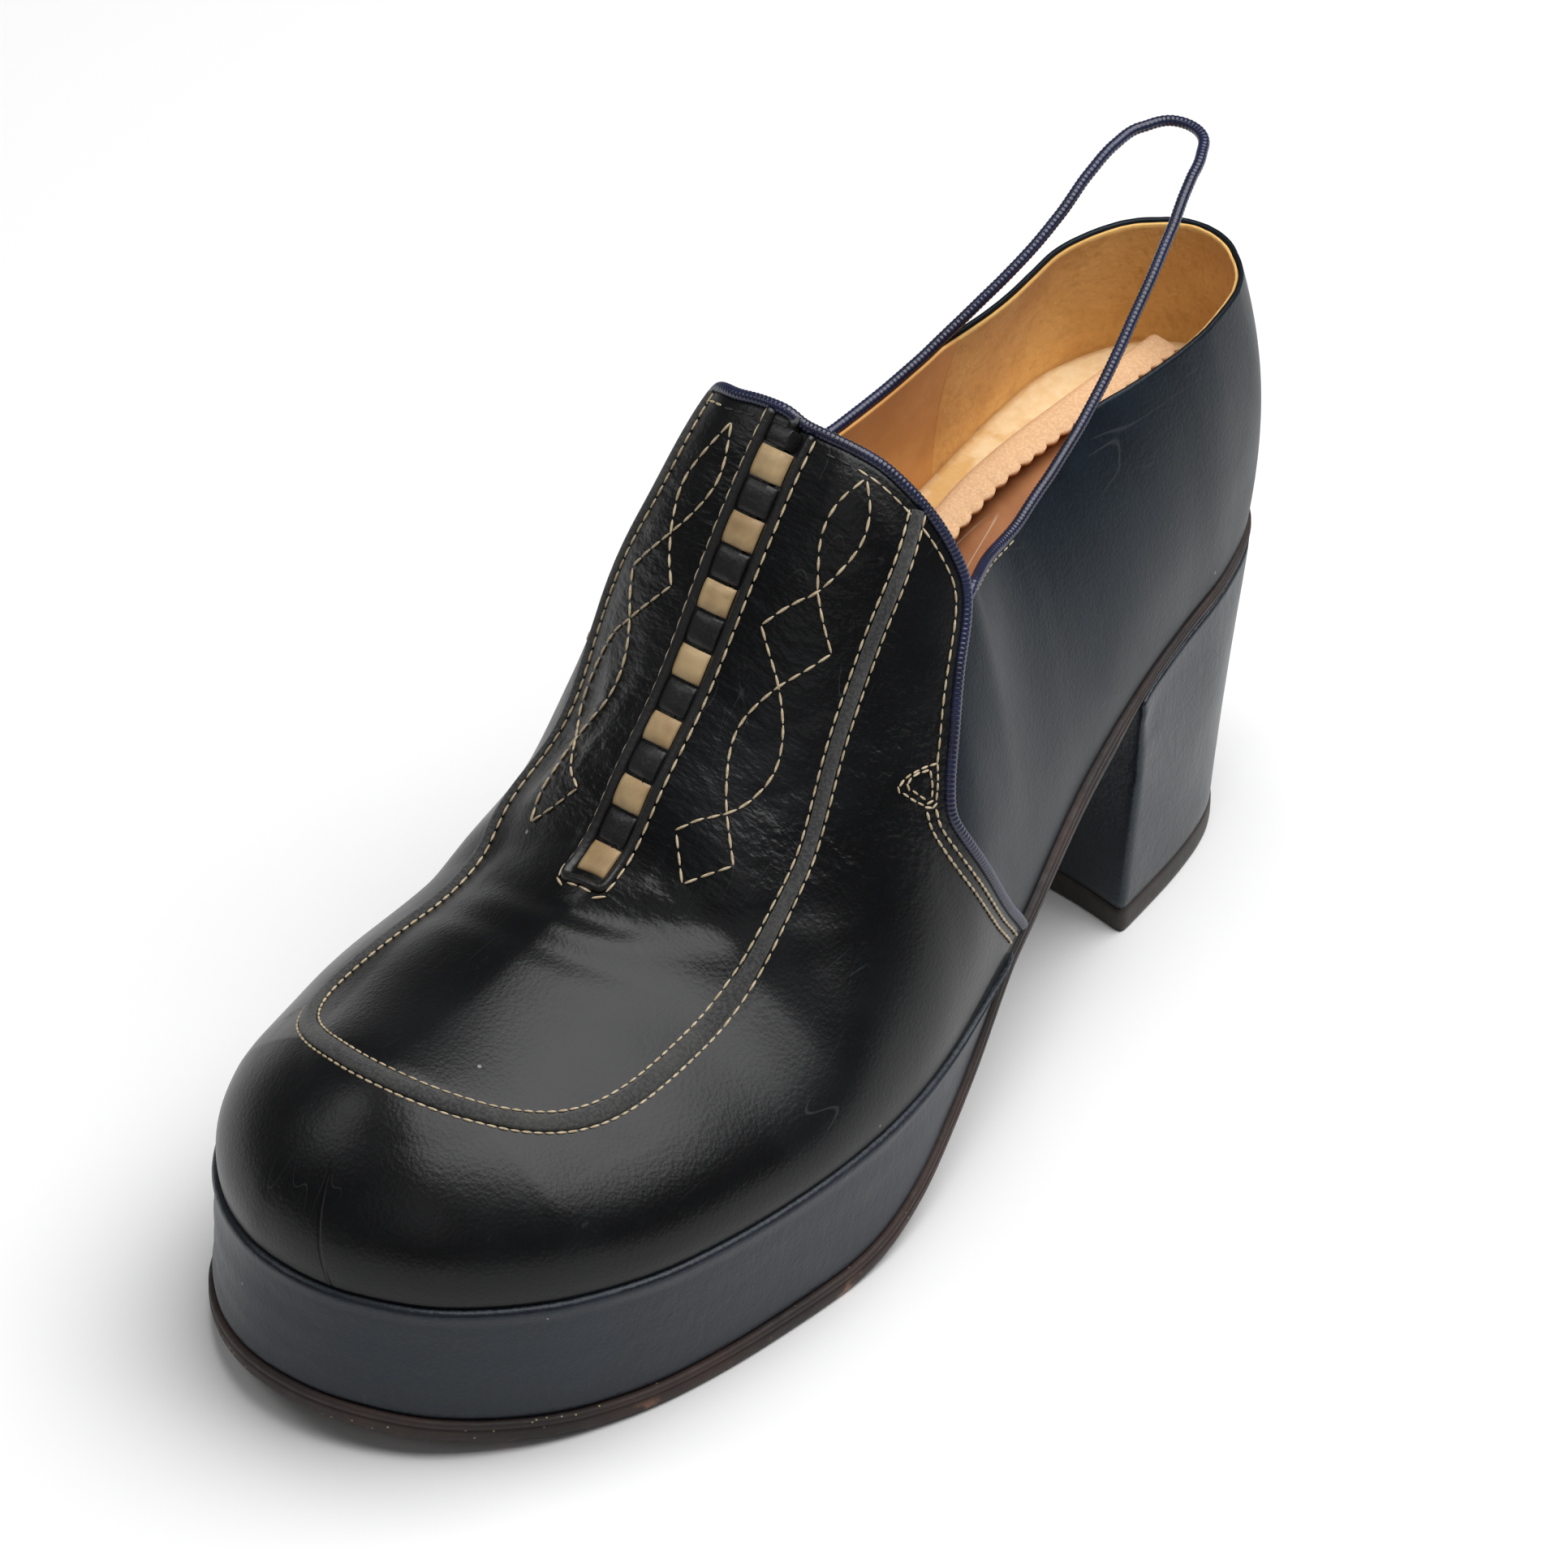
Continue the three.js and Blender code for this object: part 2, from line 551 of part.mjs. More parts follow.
function flapPiping() {
  const out = PIPING + GAP;
  const edge = new THREE.SplineCurve([...flapEdge].reverse().map(([y, z]) => new THREE.Vector2(y, z)));
  const beside = (t) => {
    const p = edge.getPoint(t);
    const ahead = edge.getTangent(t);
    return new THREE.Vector3(0, p.x + ahead.y * out, p.y - ahead.x * out);
  };
  const side = (sign) => [0.06, 0.2, 0.4, 0.6, 0.8].map((t) => {
    const p = beside(t);
    return reach(aroundAt(sign, p.y), () => p.z, -WALL / 2);
  });
  return cord([...side(1), beside(0.88), ...side(-1).reverse()], 36);
}

// Sole

const platformTop = outline(PLATFORM_LIP);
const platformFoot = soleOutline(PLATFORM_LIP - PLATFORM_TUCK);
const outsoleEdge = soleOutline(PLATFORM_LIP - PLATFORM_TUCK + WELT);

const outsole = () => slab(outsoleEdge, outsoleEdge, underZ, outsoleTopZ);

// What lies below the outsole's top or underside, moved up by out, on the outsole's own facets.
function belowOutsole(height, out) {
  return solid(slab(outsoleEdge, outsoleEdge, () => -OUTSOLE, (x, y) => height(x, y) + out, [SKIRT]));
}

// The wedge ends where the outsole meets the upper in the waist.
function platform() {
  const bulk = solid(slab(platformFoot, platformTop, () => OUTSOLE, (x, y) => featherZ(x, y) - GAP));
  const end = PLATFORM_END * LENGTH;
  const front = sideTool([[-LENGTH, 0], [end, 0], [end, TALL], [-LENGTH, TALL]]);
  return geometryOf(bulk.intersect(front).subtract(belowOutsole(outsoleTopZ, GAP)));
}

// Top of the board inside the shoe, which a wedge lifts at the heel.
const insoleTopZ = (x, y) => featherZ(x, y) + INSOLE + SEAT_PAD * smooth(PAD_START, PAD_FULL, y / LENGTH);

// Outline inside the upper's wall at the board's top.
const seatOutline = (inset) => facets.map((i) => reach(i / AROUND, (p) => insoleTopZ(p.x, p.y), -WALL - GAP - inset));

const insole = () => slab(outline(-WALL - GAP), seatOutline(GAP), featherZ, insoleTopZ);

const sockZ = (x, y) => insoleTopZ(x, y) + SOCK_BED;

// Rolled inner edge of the sock: it leaves the board, turns over and ends above the sock.
function sockRoll() {
  const fold = SOCK_FOLD * BALL_WIDTH;
  const end = SOCK_END * LENGTH;
  const arc = (radius) => [...Array(6).keys()].map((i) => {
    const turn = Math.PI * i / 5;
    return [SOCK_CURL - radius * Math.sin(turn), SOCK_CURL - radius * Math.cos(turn)];
  });
  const outer = arc(SOCK_CURL);
  const inner = arc(SOCK_CURL - SOCK).reverse();
  const foot = 2 * SOCK_CURL;
  const tip = SOCK_CURL + SOCK_FLAP;
  const section = [[foot, 0], ...outer, [tip, 2 * SOCK_CURL], [tip, 2 * SOCK_CURL - SOCK], ...inner, [foot, SOCK]];
  const shape = new THREE.Shape(section.map(([x, z]) => new THREE.Vector2(x, z)));
  const depth = end - SOCK_START * LENGTH;
  const roll = new THREE.ExtrudeGeometry(shape, { depth, steps: 14, bevelEnabled: false });
  const place = roll.attributes.position;
  for (let i = 0; i < place.count; i++) {
    const x = fold + place.getX(i);
    const y = end - place.getZ(i);
    place.setXYZ(i, x, y, sockZ(x, y) + place.getY(i));
  }
  return solid(roll);
}

function sockLining() {
  const edge = seatOutline(SOCK_INSET);
  const sheet = solid(slab(edge, edge, sockZ, (x, y) => sockZ(x, y) + SOCK));
  const start = SOCK_START * LENGTH;
  const fold = SOCK_FOLD * BALL_WIDTH + SOCK_CURL;
  const flat = sheet.intersect(sideTool([[start, 0], [LENGTH, 0], [LENGTH, TALL], [start, TALL]]))
    .intersect(planTool([[fold, 0], [WIDE, 0], [WIDE, LENGTH], [fold, LENGTH]]));
  return geometryOf(flat.add(sockRoll()));
}

// Heel

// Ring of the heel between its floor (0) and its seat (1), with the hollow front.
function heelRing(share, z) {
  const place = (x, y) => new THREE.Vector3(x * HEEL_WIDTH, HEEL_FRONT * LENGTH + y * HEEL_DEPTH, z);
  const corners = HEEL.seatX.map((x, i) => place(HEEL.floorX[i], HEEL.floorY[i])
    .lerp(place(x, HEEL.seatY[i]), share));
  const around = new THREE.CatmullRomCurve3(corners, false, 'catmullrom', 0.5).getPoints(26);
  const front = [...Array(7).keys()].map((i) => {
    const t = (i + 1) / 8;
    const p = corners.at(-1).clone().lerp(corners[0], t);
    return p.setY(p.y + BREAST_HOLLOW * Math.sin(Math.PI * t));
  });
  return [...around, ...front];
}

const seatZ = HEEL_SHAFT * (PLATFORM_HEIGHT + SEAT_RISE);

function heelBlock() {
  const floor = TOP_LIFT + GAP;
  const shaft = solid(loft([heelRing(0, floor), heelRing(0.5, (floor + seatZ) / 2), heelRing(1, seatZ)], true));
  return geometryOf(shaft.intersect(belowOutsole(underZ, -GAP)));
}

const topLift = () => loft([heelRing(0, 0), heelRing(0, TOP_LIFT)], true);

// Shoe

const leather = { roughness: 0.42, metalness: 0 };
const looks = {
  navy: new THREE.MeshStandardMaterial({ color: 0x14171f, ...leather }),
  black: new THREE.MeshStandardMaterial({ color: 0x0d0d0f, ...leather }),
  charcoal: new THREE.MeshStandardMaterial({ color: 0x34363a, roughness: 0.8, metalness: 0 }),
  piping: new THREE.MeshStandardMaterial({ color: 0x161a38, roughness: 0.35, metalness: 0 }),
  cream: new THREE.MeshStandardMaterial({ color: 0xb9a17c, roughness: 0.7, metalness: 0 }),
  kraft: new THREE.MeshStandardMaterial({ color: 0xb08a5c, roughness: 0.8, metalness: 0 }),
  board: new THREE.MeshStandardMaterial({ color: 0xcfae78, roughness: 0.85, metalness: 0 }),
  brown: new THREE.MeshStandardMaterial({ color: 0x2b1f1a, roughness: 0.6, metalness: 0 }),
};

const shoe = new THREE.Group();

function add(name, geometry, material) {
  const mesh = new THREE.Mesh(geometry, material);
  mesh.name = name;
  shoe.add(mesh);
}

add('outsole', outsole(), looks.brown);
add('platform', platform(), looks.navy);
add('heel_block', heelBlock(), looks.navy);
add('top_lift', topLift(), looks.brown);
add('insole', insole(), looks.board);
add('sock_lining', sockLining(), looks.kraft);
add('upper', upper(), looks.navy);
add('apron_seam', apronSeam(), looks.charcoal);
add('throat_strip', throatStrip(), looks.cream);
add('slot_welts', slotWelts(), looks.black);
add('flap_piping', flapPiping(), looks.piping);
add('wing_piping_outer', wingPiping(1), looks.piping);
add('wing_piping_inner', wingPiping(-1), looks.piping);
add('collar_piping', collarPiping(), looks.piping);

// The origin is the middle of the shoe's box, on the floor.
const box = new THREE.Box3().setFromObject(shoe);
const centre = box.getCenter(new THREE.Vector3());
shoe.position.set(-centre.x, -centre.y, -box.min.z);

export default shoe;
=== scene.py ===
"""The looks of a left platform shoe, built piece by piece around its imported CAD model."""

import math

import bmesh
import bpy
import numpy as np
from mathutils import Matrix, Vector
from mathutils.bvhtree import BVHTree


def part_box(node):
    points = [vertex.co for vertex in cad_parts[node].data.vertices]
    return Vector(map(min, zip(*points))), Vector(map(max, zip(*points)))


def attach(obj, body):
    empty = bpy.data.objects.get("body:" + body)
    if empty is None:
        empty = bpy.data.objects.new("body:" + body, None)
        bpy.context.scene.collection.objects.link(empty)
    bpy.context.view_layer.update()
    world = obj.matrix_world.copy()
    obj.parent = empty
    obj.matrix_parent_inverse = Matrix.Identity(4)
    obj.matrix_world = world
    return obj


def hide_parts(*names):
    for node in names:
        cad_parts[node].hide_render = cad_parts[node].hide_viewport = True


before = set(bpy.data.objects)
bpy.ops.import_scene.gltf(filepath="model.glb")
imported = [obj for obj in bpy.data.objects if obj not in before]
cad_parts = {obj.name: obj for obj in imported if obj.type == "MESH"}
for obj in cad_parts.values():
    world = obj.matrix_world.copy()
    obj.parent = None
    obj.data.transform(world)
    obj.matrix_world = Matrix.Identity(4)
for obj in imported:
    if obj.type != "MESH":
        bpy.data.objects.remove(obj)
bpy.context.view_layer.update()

# The last
# The wooden form that the leather is pulled over. Its lower edge runs round the foot, and ribs
# rise from that edge to a ridge. Every piece of the upper is laid on it, in millimetres.

LENGTH = 290
BALL_WIDTH = 111
PLATFORM_HEIGHT = 34
SEAT_RISE = 34
TOE_SPRING = 6
INSTEP = 115
QUARTER_HEIGHT = 84
OUTSOLE = 5
SKEW = 12
STRIP_START = -0.193 * LENGTH
FAN_TOE = -0.390
FAN_HEEL = 0.407


def table(names, rows):
    return dict(zip(names.split(), np.array(rows, float).T))


FEATHER = np.array([  # shares of the ball's width and of the length, from the heel round the outer side
    (-0.018, 0.490), (0.090, 0.479), (0.171, 0.452), (0.225, 0.397), (0.252, 0.334), (0.288, 0.259),
    (0.342, 0.166), (0.405, 0.076), (0.464, -0.010), (0.509, -0.086), (0.525, -0.155), (0.518, -0.224),
    (0.491, -0.293), (0.446, -0.355), (0.369, -0.414), (0.252, -0.464), (0.117, -0.491), (0, -0.498),
    (-0.117, -0.491), (-0.234, -0.467), (-0.333, -0.428), (-0.405, -0.372), (-0.450, -0.303),
    (-0.476, -0.234), (-0.477, -0.166), (-0.450, -0.103), (-0.396, -0.041), (-0.324, 0.017),
    (-0.266, 0.069), (-0.234, 0.131), (-0.227, 0.200), (-0.234, 0.269), (-0.246, 0.338),
    (-0.239, 0.403), (-0.180, 0.455), (-0.108, 0.479),
]) * (BALL_WIDTH, LENGTH)

SOLE = table("y top under top_toe under_toe", [  # shares of length, seat rise, full rise, toe spring
    (-0.517, 0, 0, 0.75, 1.19), (-0.448, 0, 0, 0.42, 0.53), (-0.379, 0, 0, 0.17, 0.13),
    (-0.310, 0, 0, 0.02, 0), (-0.172, 0, 0, 0, 0), (-0.141, 0, 0.016, 0, 0), (-0.086, 0.01, 0.103, 0, 0),
    (-0.038, 0.02, 0.222, 0, 0), (0, 0.06, 0.333, 0, 0), (0.024, 0.09, 0.421, 0, 0),
    (0.052, 0.13, 0.516, 0, 0), (0.066, 0.17, 0.550, 0, 0), (0.097, 0.265, 0.600, 0, 0),
    (0.138, 0.412, 0.675, 0, 0), (0.193, 0.603, 0.775, 0, 0), (0.245, 0.721, 0.840, 0, 0),
    (0.300, 0.809, 0.888, 0, 0), (0.355, 0.868, 0.920, 0, 0), (0.414, 0.926, 0.952, 0, 0),
    (0.500, 1, 0.992, 0, 0),
])

LAST = table("y ridge outer inner outer_bulge inner_bulge bulge_top middle", [  # shares, as in the part
    (-0.390, 0.303, 1.75, 1.75, 0.05, 0.05, 0.80, 0),
    (-0.345, 0.313, 1.65, 1.65, 0.05, 0.05, 0.75, 0),
    (-0.276, 0.339, 1.60, 1.57, 0.05, 0.05, 0.70, 0),
    (-0.214, 0.361, 1.52, 1.47, 0.05, 0.05, 0.66, 0),
    (-0.172, 0.409, 1.55, 1.42, 0.05, 0.05, 0.66, 0),
    (-0.138, 0.513, 1.52, 1.47, 0.05, 0.05, 0.66, 0),
    (-0.097, 0.616, 1.50, 1.57, 0.05, 0.05, 0.68, 0),
    (-0.031, 0.835, 1.70, 2.35, 0.04, 0.05, 0.75, 0),
    (0.024, 0.974, 2.00, 3.00, 0.03, 0.07, 0.85, 0),
    (0.069, 1.018, 2.00, 3.30, 0.02, 0.10, 1.00, 0),
    (0.114, 0.861, 2.00, 3.60, 0.03, 0.18, 1.00, 0),
    (0.148, 0.772, 2.00, 3.60, 0.04, 0.20, 0.98, -0.003),
    (0.193, 0.743, 1.90, 3.00, 0.05, 0.16, 0.90, -0.005),
    (0.252, 0.740, 1.90, 2.10, 0.07, 0.10, 0.80, -0.009),
    (0.303, 0.760, 1.90, 1.95, 0.08, 0.09, 0.80, -0.014),
    (0.366, 0.775, 1.90, 1.90, 0.10, 0.10, 0.84, -0.018),
    (0.397, 0.818, 1.90, 1.90, 0.11, 0.11, 0.84, -0.018),
    (0.424, 0.815, 1.90, 1.90, 0.12, 0.12, 0.84, -0.018),
    (0.452, 0.820, 1.90, 1.90, 0.14, 0.14, 0.84, -0.018),
    (0.479, 0.944, 1.90, 1.90, 0.17, 0.17, 0.76, -0.018),
    (0.490, 1.315, 1.90, 1.90, 0.18, 0.18, 0.56, -0.018),
])

# The strip in the flap's slot lies on the shoe's centre line and starts at a known place.
strip_low, strip_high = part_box("throat_strip")
ORIGIN = np.array([
    (strip_low[0] + strip_high[0]) / 2,
    strip_low[1] - STRIP_START / 1000,
    0,
])


def to_frame(points):
    """From the last's millimetres to the frame's metres."""
    return np.asarray(points) / 1000 + ORIGIN


def read(rows, column, at):
    """Smooth curve through a table's rows that never overshoots them."""
    x, v = rows["y"], rows[column]
    step = np.diff(x)
    slope = np.diff(v) / step
    tangent = np.zeros(len(x))
    tangent[0], tangent[-1] = slope[0], slope[-1]
    for i in range(1, len(x) - 1):
        if slope[i - 1] * slope[i] > 0:
            w, u = step[i - 1] + 2 * step[i], 2 * step[i - 1] + step[i]
            tangent[i] = (w + u) / (u / slope[i - 1] + w / slope[i])
    at = np.clip(at, x[0], x[-1])
    i = np.clip(np.searchsorted(x, at) - 1, 0, len(step) - 1)
    t = (at - x[i]) / step[i]
    return (
        (2 * t**3 - 3 * t**2 + 1) * v[i] + (t**3 - 2 * t**2 + t) * step[i] * tangent[i]
        + (3 * t**2 - 2 * t**3) * v[i + 1] + (t**3 - t**2) * step[i] * tangent[i + 1]
    )


def smooth(low, high, x):
    t = np.clip((np.asarray(x, float) - low) / (high - low), 0, 1)
    return t * t * (3 - 2 * t)


def along_sole(x, y):
    """The inner side of the waist repeats the outer side's profile a little further forward."""
    share = y / LENGTH
    waist = smooth(-0.310, -0.172, share) * (1 - smooth(0.103, 0.259, share))
    return (y + SKEW * np.clip(0.5 - x / (0.85 * BALL_WIDTH), 0, 1) * waist) / LENGTH


def feather_z(x, y):
    at = along_sole(x, y)
    return PLATFORM_HEIGHT + SEAT_RISE * read(SOLE, "top", at) + TOE_SPRING * read(SOLE, "top_toe", at)


def under_z(x, y):
    at = along_sole(x, y)
    rise = PLATFORM_HEIGHT + SEAT_RISE - OUTSOLE
    return rise * read(SOLE, "under", at) + TOE_SPRING * read(SOLE, "under_toe", at)


def rounded(points, count, closed=True):
    """Points at even steps of the rows on a curve through them."""
    points = np.asarray(points, float)
    n = len(points)
    t = np.arange(count) / count * n if closed else np.linspace(0, n - 1, count)
    i = np.floor(t).astype(int) if closed else np.minimum(np.floor(t).astype(int), n - 2)
    f = (t - i)[:, None]
    if closed:
        a, b, c, d = (points[(i + k) % n] for k in (-1, 0, 1, 2))
    else:
        a, b, c, d = (points[np.clip(i + k, 0, n - 1)] for k in (-1, 0, 1, 2))
    return 0.5 * (2 * b + (c - a) * f + (2 * a - 5 * b + 4 * c - d) * f**2 + (3 * b - a - 3 * c + d) * f**3)


edge_loop = rounded(FEATHER, 3600)
toe_at = int(np.argmin(edge_loop[:, 1]))
heel_at = int(np.argmax(edge_loop[:, 1]))
outer_edge = np.roll(edge_loop, -heel_at, axis=0)[: (toe_at - heel_at) % 3600 + 1][::-1]
inner_edge = np.roll(edge_loop, -toe_at, axis=0)[: (heel_at - toe_at) % 3600 + 1]


def foot_at(side, y):
    """Point of the lower edge on one side, +1 outer or -1 inner, at a place along the shoe."""
    edge = outer_edge if side > 0 else inner_edge
    y = np.asarray(y, float)
    return np.stack([np.interp(y, edge[:, 1], edge[:, 0]), y], axis=-1)


FLAP_FULLER = 3.2      # the flap stands out this much on the inner side


def last(foot, v):
    """Points of the last over the lower edge's points, with v from that edge to the ridge."""
    x, y = foot[..., 0], foot[..., 1]
    at = y / LENGTH
    side = smooth(-0.18, 0.18, x / BALL_WIDTH)
    full = read(LAST, "inner", at) * (1 - side) + read(LAST, "outer", at) * side
    bulge = read(LAST, "inner_bulge", at) * (1 - side) + read(LAST, "outer_bulge", at) * side
    angle = np.clip(v, 0, 1) * math.pi / 2
    up = np.sin(angle) ** (2 / full)
    swell = np.sin(math.pi * np.minimum(up / read(LAST, "bulge_top", at), 1))
    out = np.maximum(np.cos(angle), 0) ** (2 / full) + bulge * swell
    middle_x = read(LAST, "middle", at) * BALL_WIDTH
    middle_y = np.clip(at, FAN_TOE, FAN_HEEL) * LENGTH
    low = feather_z(x, y)
    ridge = feather_z(x, np.maximum(at, FAN_TOE) * LENGTH) + INSTEP * read(LAST, "ridge", at)
    place_x = middle_x + (x - middle_x) * out
    place_y = middle_y + (y - middle_y) * out
    place_z = low + (ridge - low) * up
    fuller = smooth(85, 125, place_z) * smooth(-45, -8, place_y) * (1 - smooth(20, 44, place_y))
    place_x = place_x - FLAP_FULLER * fuller * (1 - smooth(-15, 0, place_x))
    return np.stack([place_x, place_y, place_z], axis=-1)


def rib_up_to(foot, height, steps=400):
    """For each foot point, the v at which its rib reaches height(y), given in millimetres."""
    v = np.linspace(0, 1, steps)
    foot = np.asarray(foot, float)
    ribs = last(np.repeat(foot[:, None], steps, axis=1), np.repeat(v[None], len(foot), axis=0))
    over = ribs[..., 2] >= height(ribs[..., 1])
    over[:, 0] = False
    first = np.where(over.any(axis=1), over.argmax(axis=1), steps - 1)
    return v[first]


# Edges of the upper's parts in the side view, as shares of the same sizes.

COLLAR = table("y z", [
    (0.069, 0.955), (0.114, 0.848), (0.148, 0.782), (0.172, 0.754), (0.207, 0.743), (0.241, 0.754),
    (0.279, 0.790), (0.303, 0.826), (0.331, 0.868), (0.366, 0.918), (0.393, 0.955), (0.410, 0.975),
    (0.428, 0.990), (0.452, 0.995), (0.517, 0.995),
])
VAMP_EDGE = np.array([  # from the sole up the vamp's rear edge and over the flap's upper edge
    (0.098, -0.070), (0.0735, 0.060), (0.050, 0.140), (0.0330, 0.205), (0.0180, 0.270), (0.0030, 0.340),
    (-0.0070, 0.392), (-0.0118, 0.432), (-0.0080, 0.472), (-0.0020, 0.512), (0.0055, 0.553), (0.0165, 0.611),
    (0.0290, 0.660), (0.0460, 0.712), (0.0560, 0.760), (0.0565, 0.800), (0.052, 0.870), (0.041, 0.952),
    (0.033, 0.983), (0.024, 1.004),
])


def collar_z(y):
    return feather_z(BALL_WIDTH / 2, y) + QUARTER_HEIGHT * read(COLLAR, "z", y / LENGTH)


vamp_rear = rounded(VAMP_EDGE, 200, closed=False) * (LENGTH, INSTEP) + (0, PLATFORM_HEIGHT)


def make_mesh(name, vertices, faces, material=None):
    """A piece whose place is in its mesh, from points on the last's scale."""
    mesh = bpy.data.meshes.new(name)
    mesh.from_pydata(to_frame(vertices).tolist(), [], [list(map(int, f)) for f in faces])
    mesh.polygons.foreach_set("use_smooth", [True] * len(mesh.polygons))
    piece = bpy.data.objects.new(name, mesh)
    bpy.context.collection.objects.link(piece)
    if material:
        mesh.materials.append(material)
    mesh.update()
    return piece


def grid_faces(rows, columns, closed=False, start=0):
    """Quads between the points of a grid, whose columns may close into a ring."""
    i, j = np.meshgrid(np.arange(rows - 1), np.arange(columns if closed else columns - 1), indexing="ij")
    a = i * columns + j
    b = i * columns + (j + 1) % columns
    return (np.stack([a, b, b + columns, a + columns], axis=-1).reshape(-1, 4) + start).tolist()


def clean(piece, distance=1e-6, recalculate=True):
    """Joins points that coincide and turns the faces outwards."""
    shell = bmesh.new()
    shell.from_mesh(piece.data)
    bmesh.ops.remove_doubles(shell, verts=shell.verts, dist=distance)
    bmesh.ops.dissolve_degenerate(shell, edges=shell.edges, dist=1e-7)
    if recalculate:
        bmesh.ops.recalc_face_normals(shell, faces=shell.faces)
    shell.to_mesh(piece.data)
    shell.free()


def grid_normals(grid, closed=False):
    """Unit normals of a grid of points."""
    across = np.gradient(grid, axis=0)
    if closed:
        wide = np.concatenate([grid[:, -2:], grid, grid[:, :2]], axis=1)
        along = np.gradient(wide, axis=1)[:, 2:-2]
    else:
        along = np.gradient(grid, axis=1)
    normal = np.cross(along, across)
    size = np.linalg.norm(normal, axis=-1, keepdims=True)
    return normal / np.maximum(size, 1e-9)


def shell_mesh(name, grid, thickness, material):
    """Closed sheet of leather: the grid, the same grid moved inwards, and its four edges."""
    rows, columns = grid.shape[:2]
    inner = grid - grid_normals(grid) * thickness
    count = rows * columns
    faces = grid_faces(rows, columns)
    faces += [f[::-1] for f in grid_faces(rows, columns, start=count)]
    rim = [j for j in range(columns)]
    rim += [i * columns + columns - 1 for i in range(1, rows)]
    rim += [(rows - 1) * columns + j for j in range(columns - 2, -1, -1)]
    rim += [i * columns for i in range(rows - 2, 0, -1)]
    for a, b in zip(rim, rim[1:] + rim[:1]):
        faces.append([b, a, a + count, b + count])
    points = np.concatenate([grid.reshape(-1, 3), inner.reshape(-1, 3)])
    return make_mesh(name, points, faces, material)


# Finishes
# Each finish is a small tree of shader nodes, written as arithmetic on its sockets.


class Signal:
    """A shader socket that takes part in Python arithmetic."""

    def __init__(self, finish, socket):
        self.finish, self.socket = finish, socket

    def maths(self, operation, *values):
        return self.finish.node("ShaderNodeMath", {"operation": operation}, *values)[0]

    def __add__(self, other): return self.maths("ADD", self, other)
    def __radd__(self, other): return self.maths("ADD", other, self)
    def __sub__(self, other): return self.maths("SUBTRACT", self, other)
    def __rsub__(self, other): return self.maths("SUBTRACT", other, self)
    def __mul__(self, other): return self.maths("MULTIPLY", self, other)
    def __rmul__(self, other): return self.maths("MULTIPLY", other, self)
    def __truediv__(self, other): return self.maths("DIVIDE", self, other)
    def __pow__(self, other): return self.maths("POWER", self, other)
    def __abs__(self): return self.maths("ABSOLUTE", self)
    def __gt__(self, other): return self.maths("GREATER_THAN", self, other)
    def __lt__(self, other): return self.maths("LESS_THAN", self, other)

    def between(self, low, high):
        """0 below low, 1 above high, and smooth in between."""
        return self.finish.node(
            "ShaderNodeMapRange", {"interpolation_type": "SMOOTHSTEP", "clamp": True},
            self, low, high, 0.0, 1.0)[0]


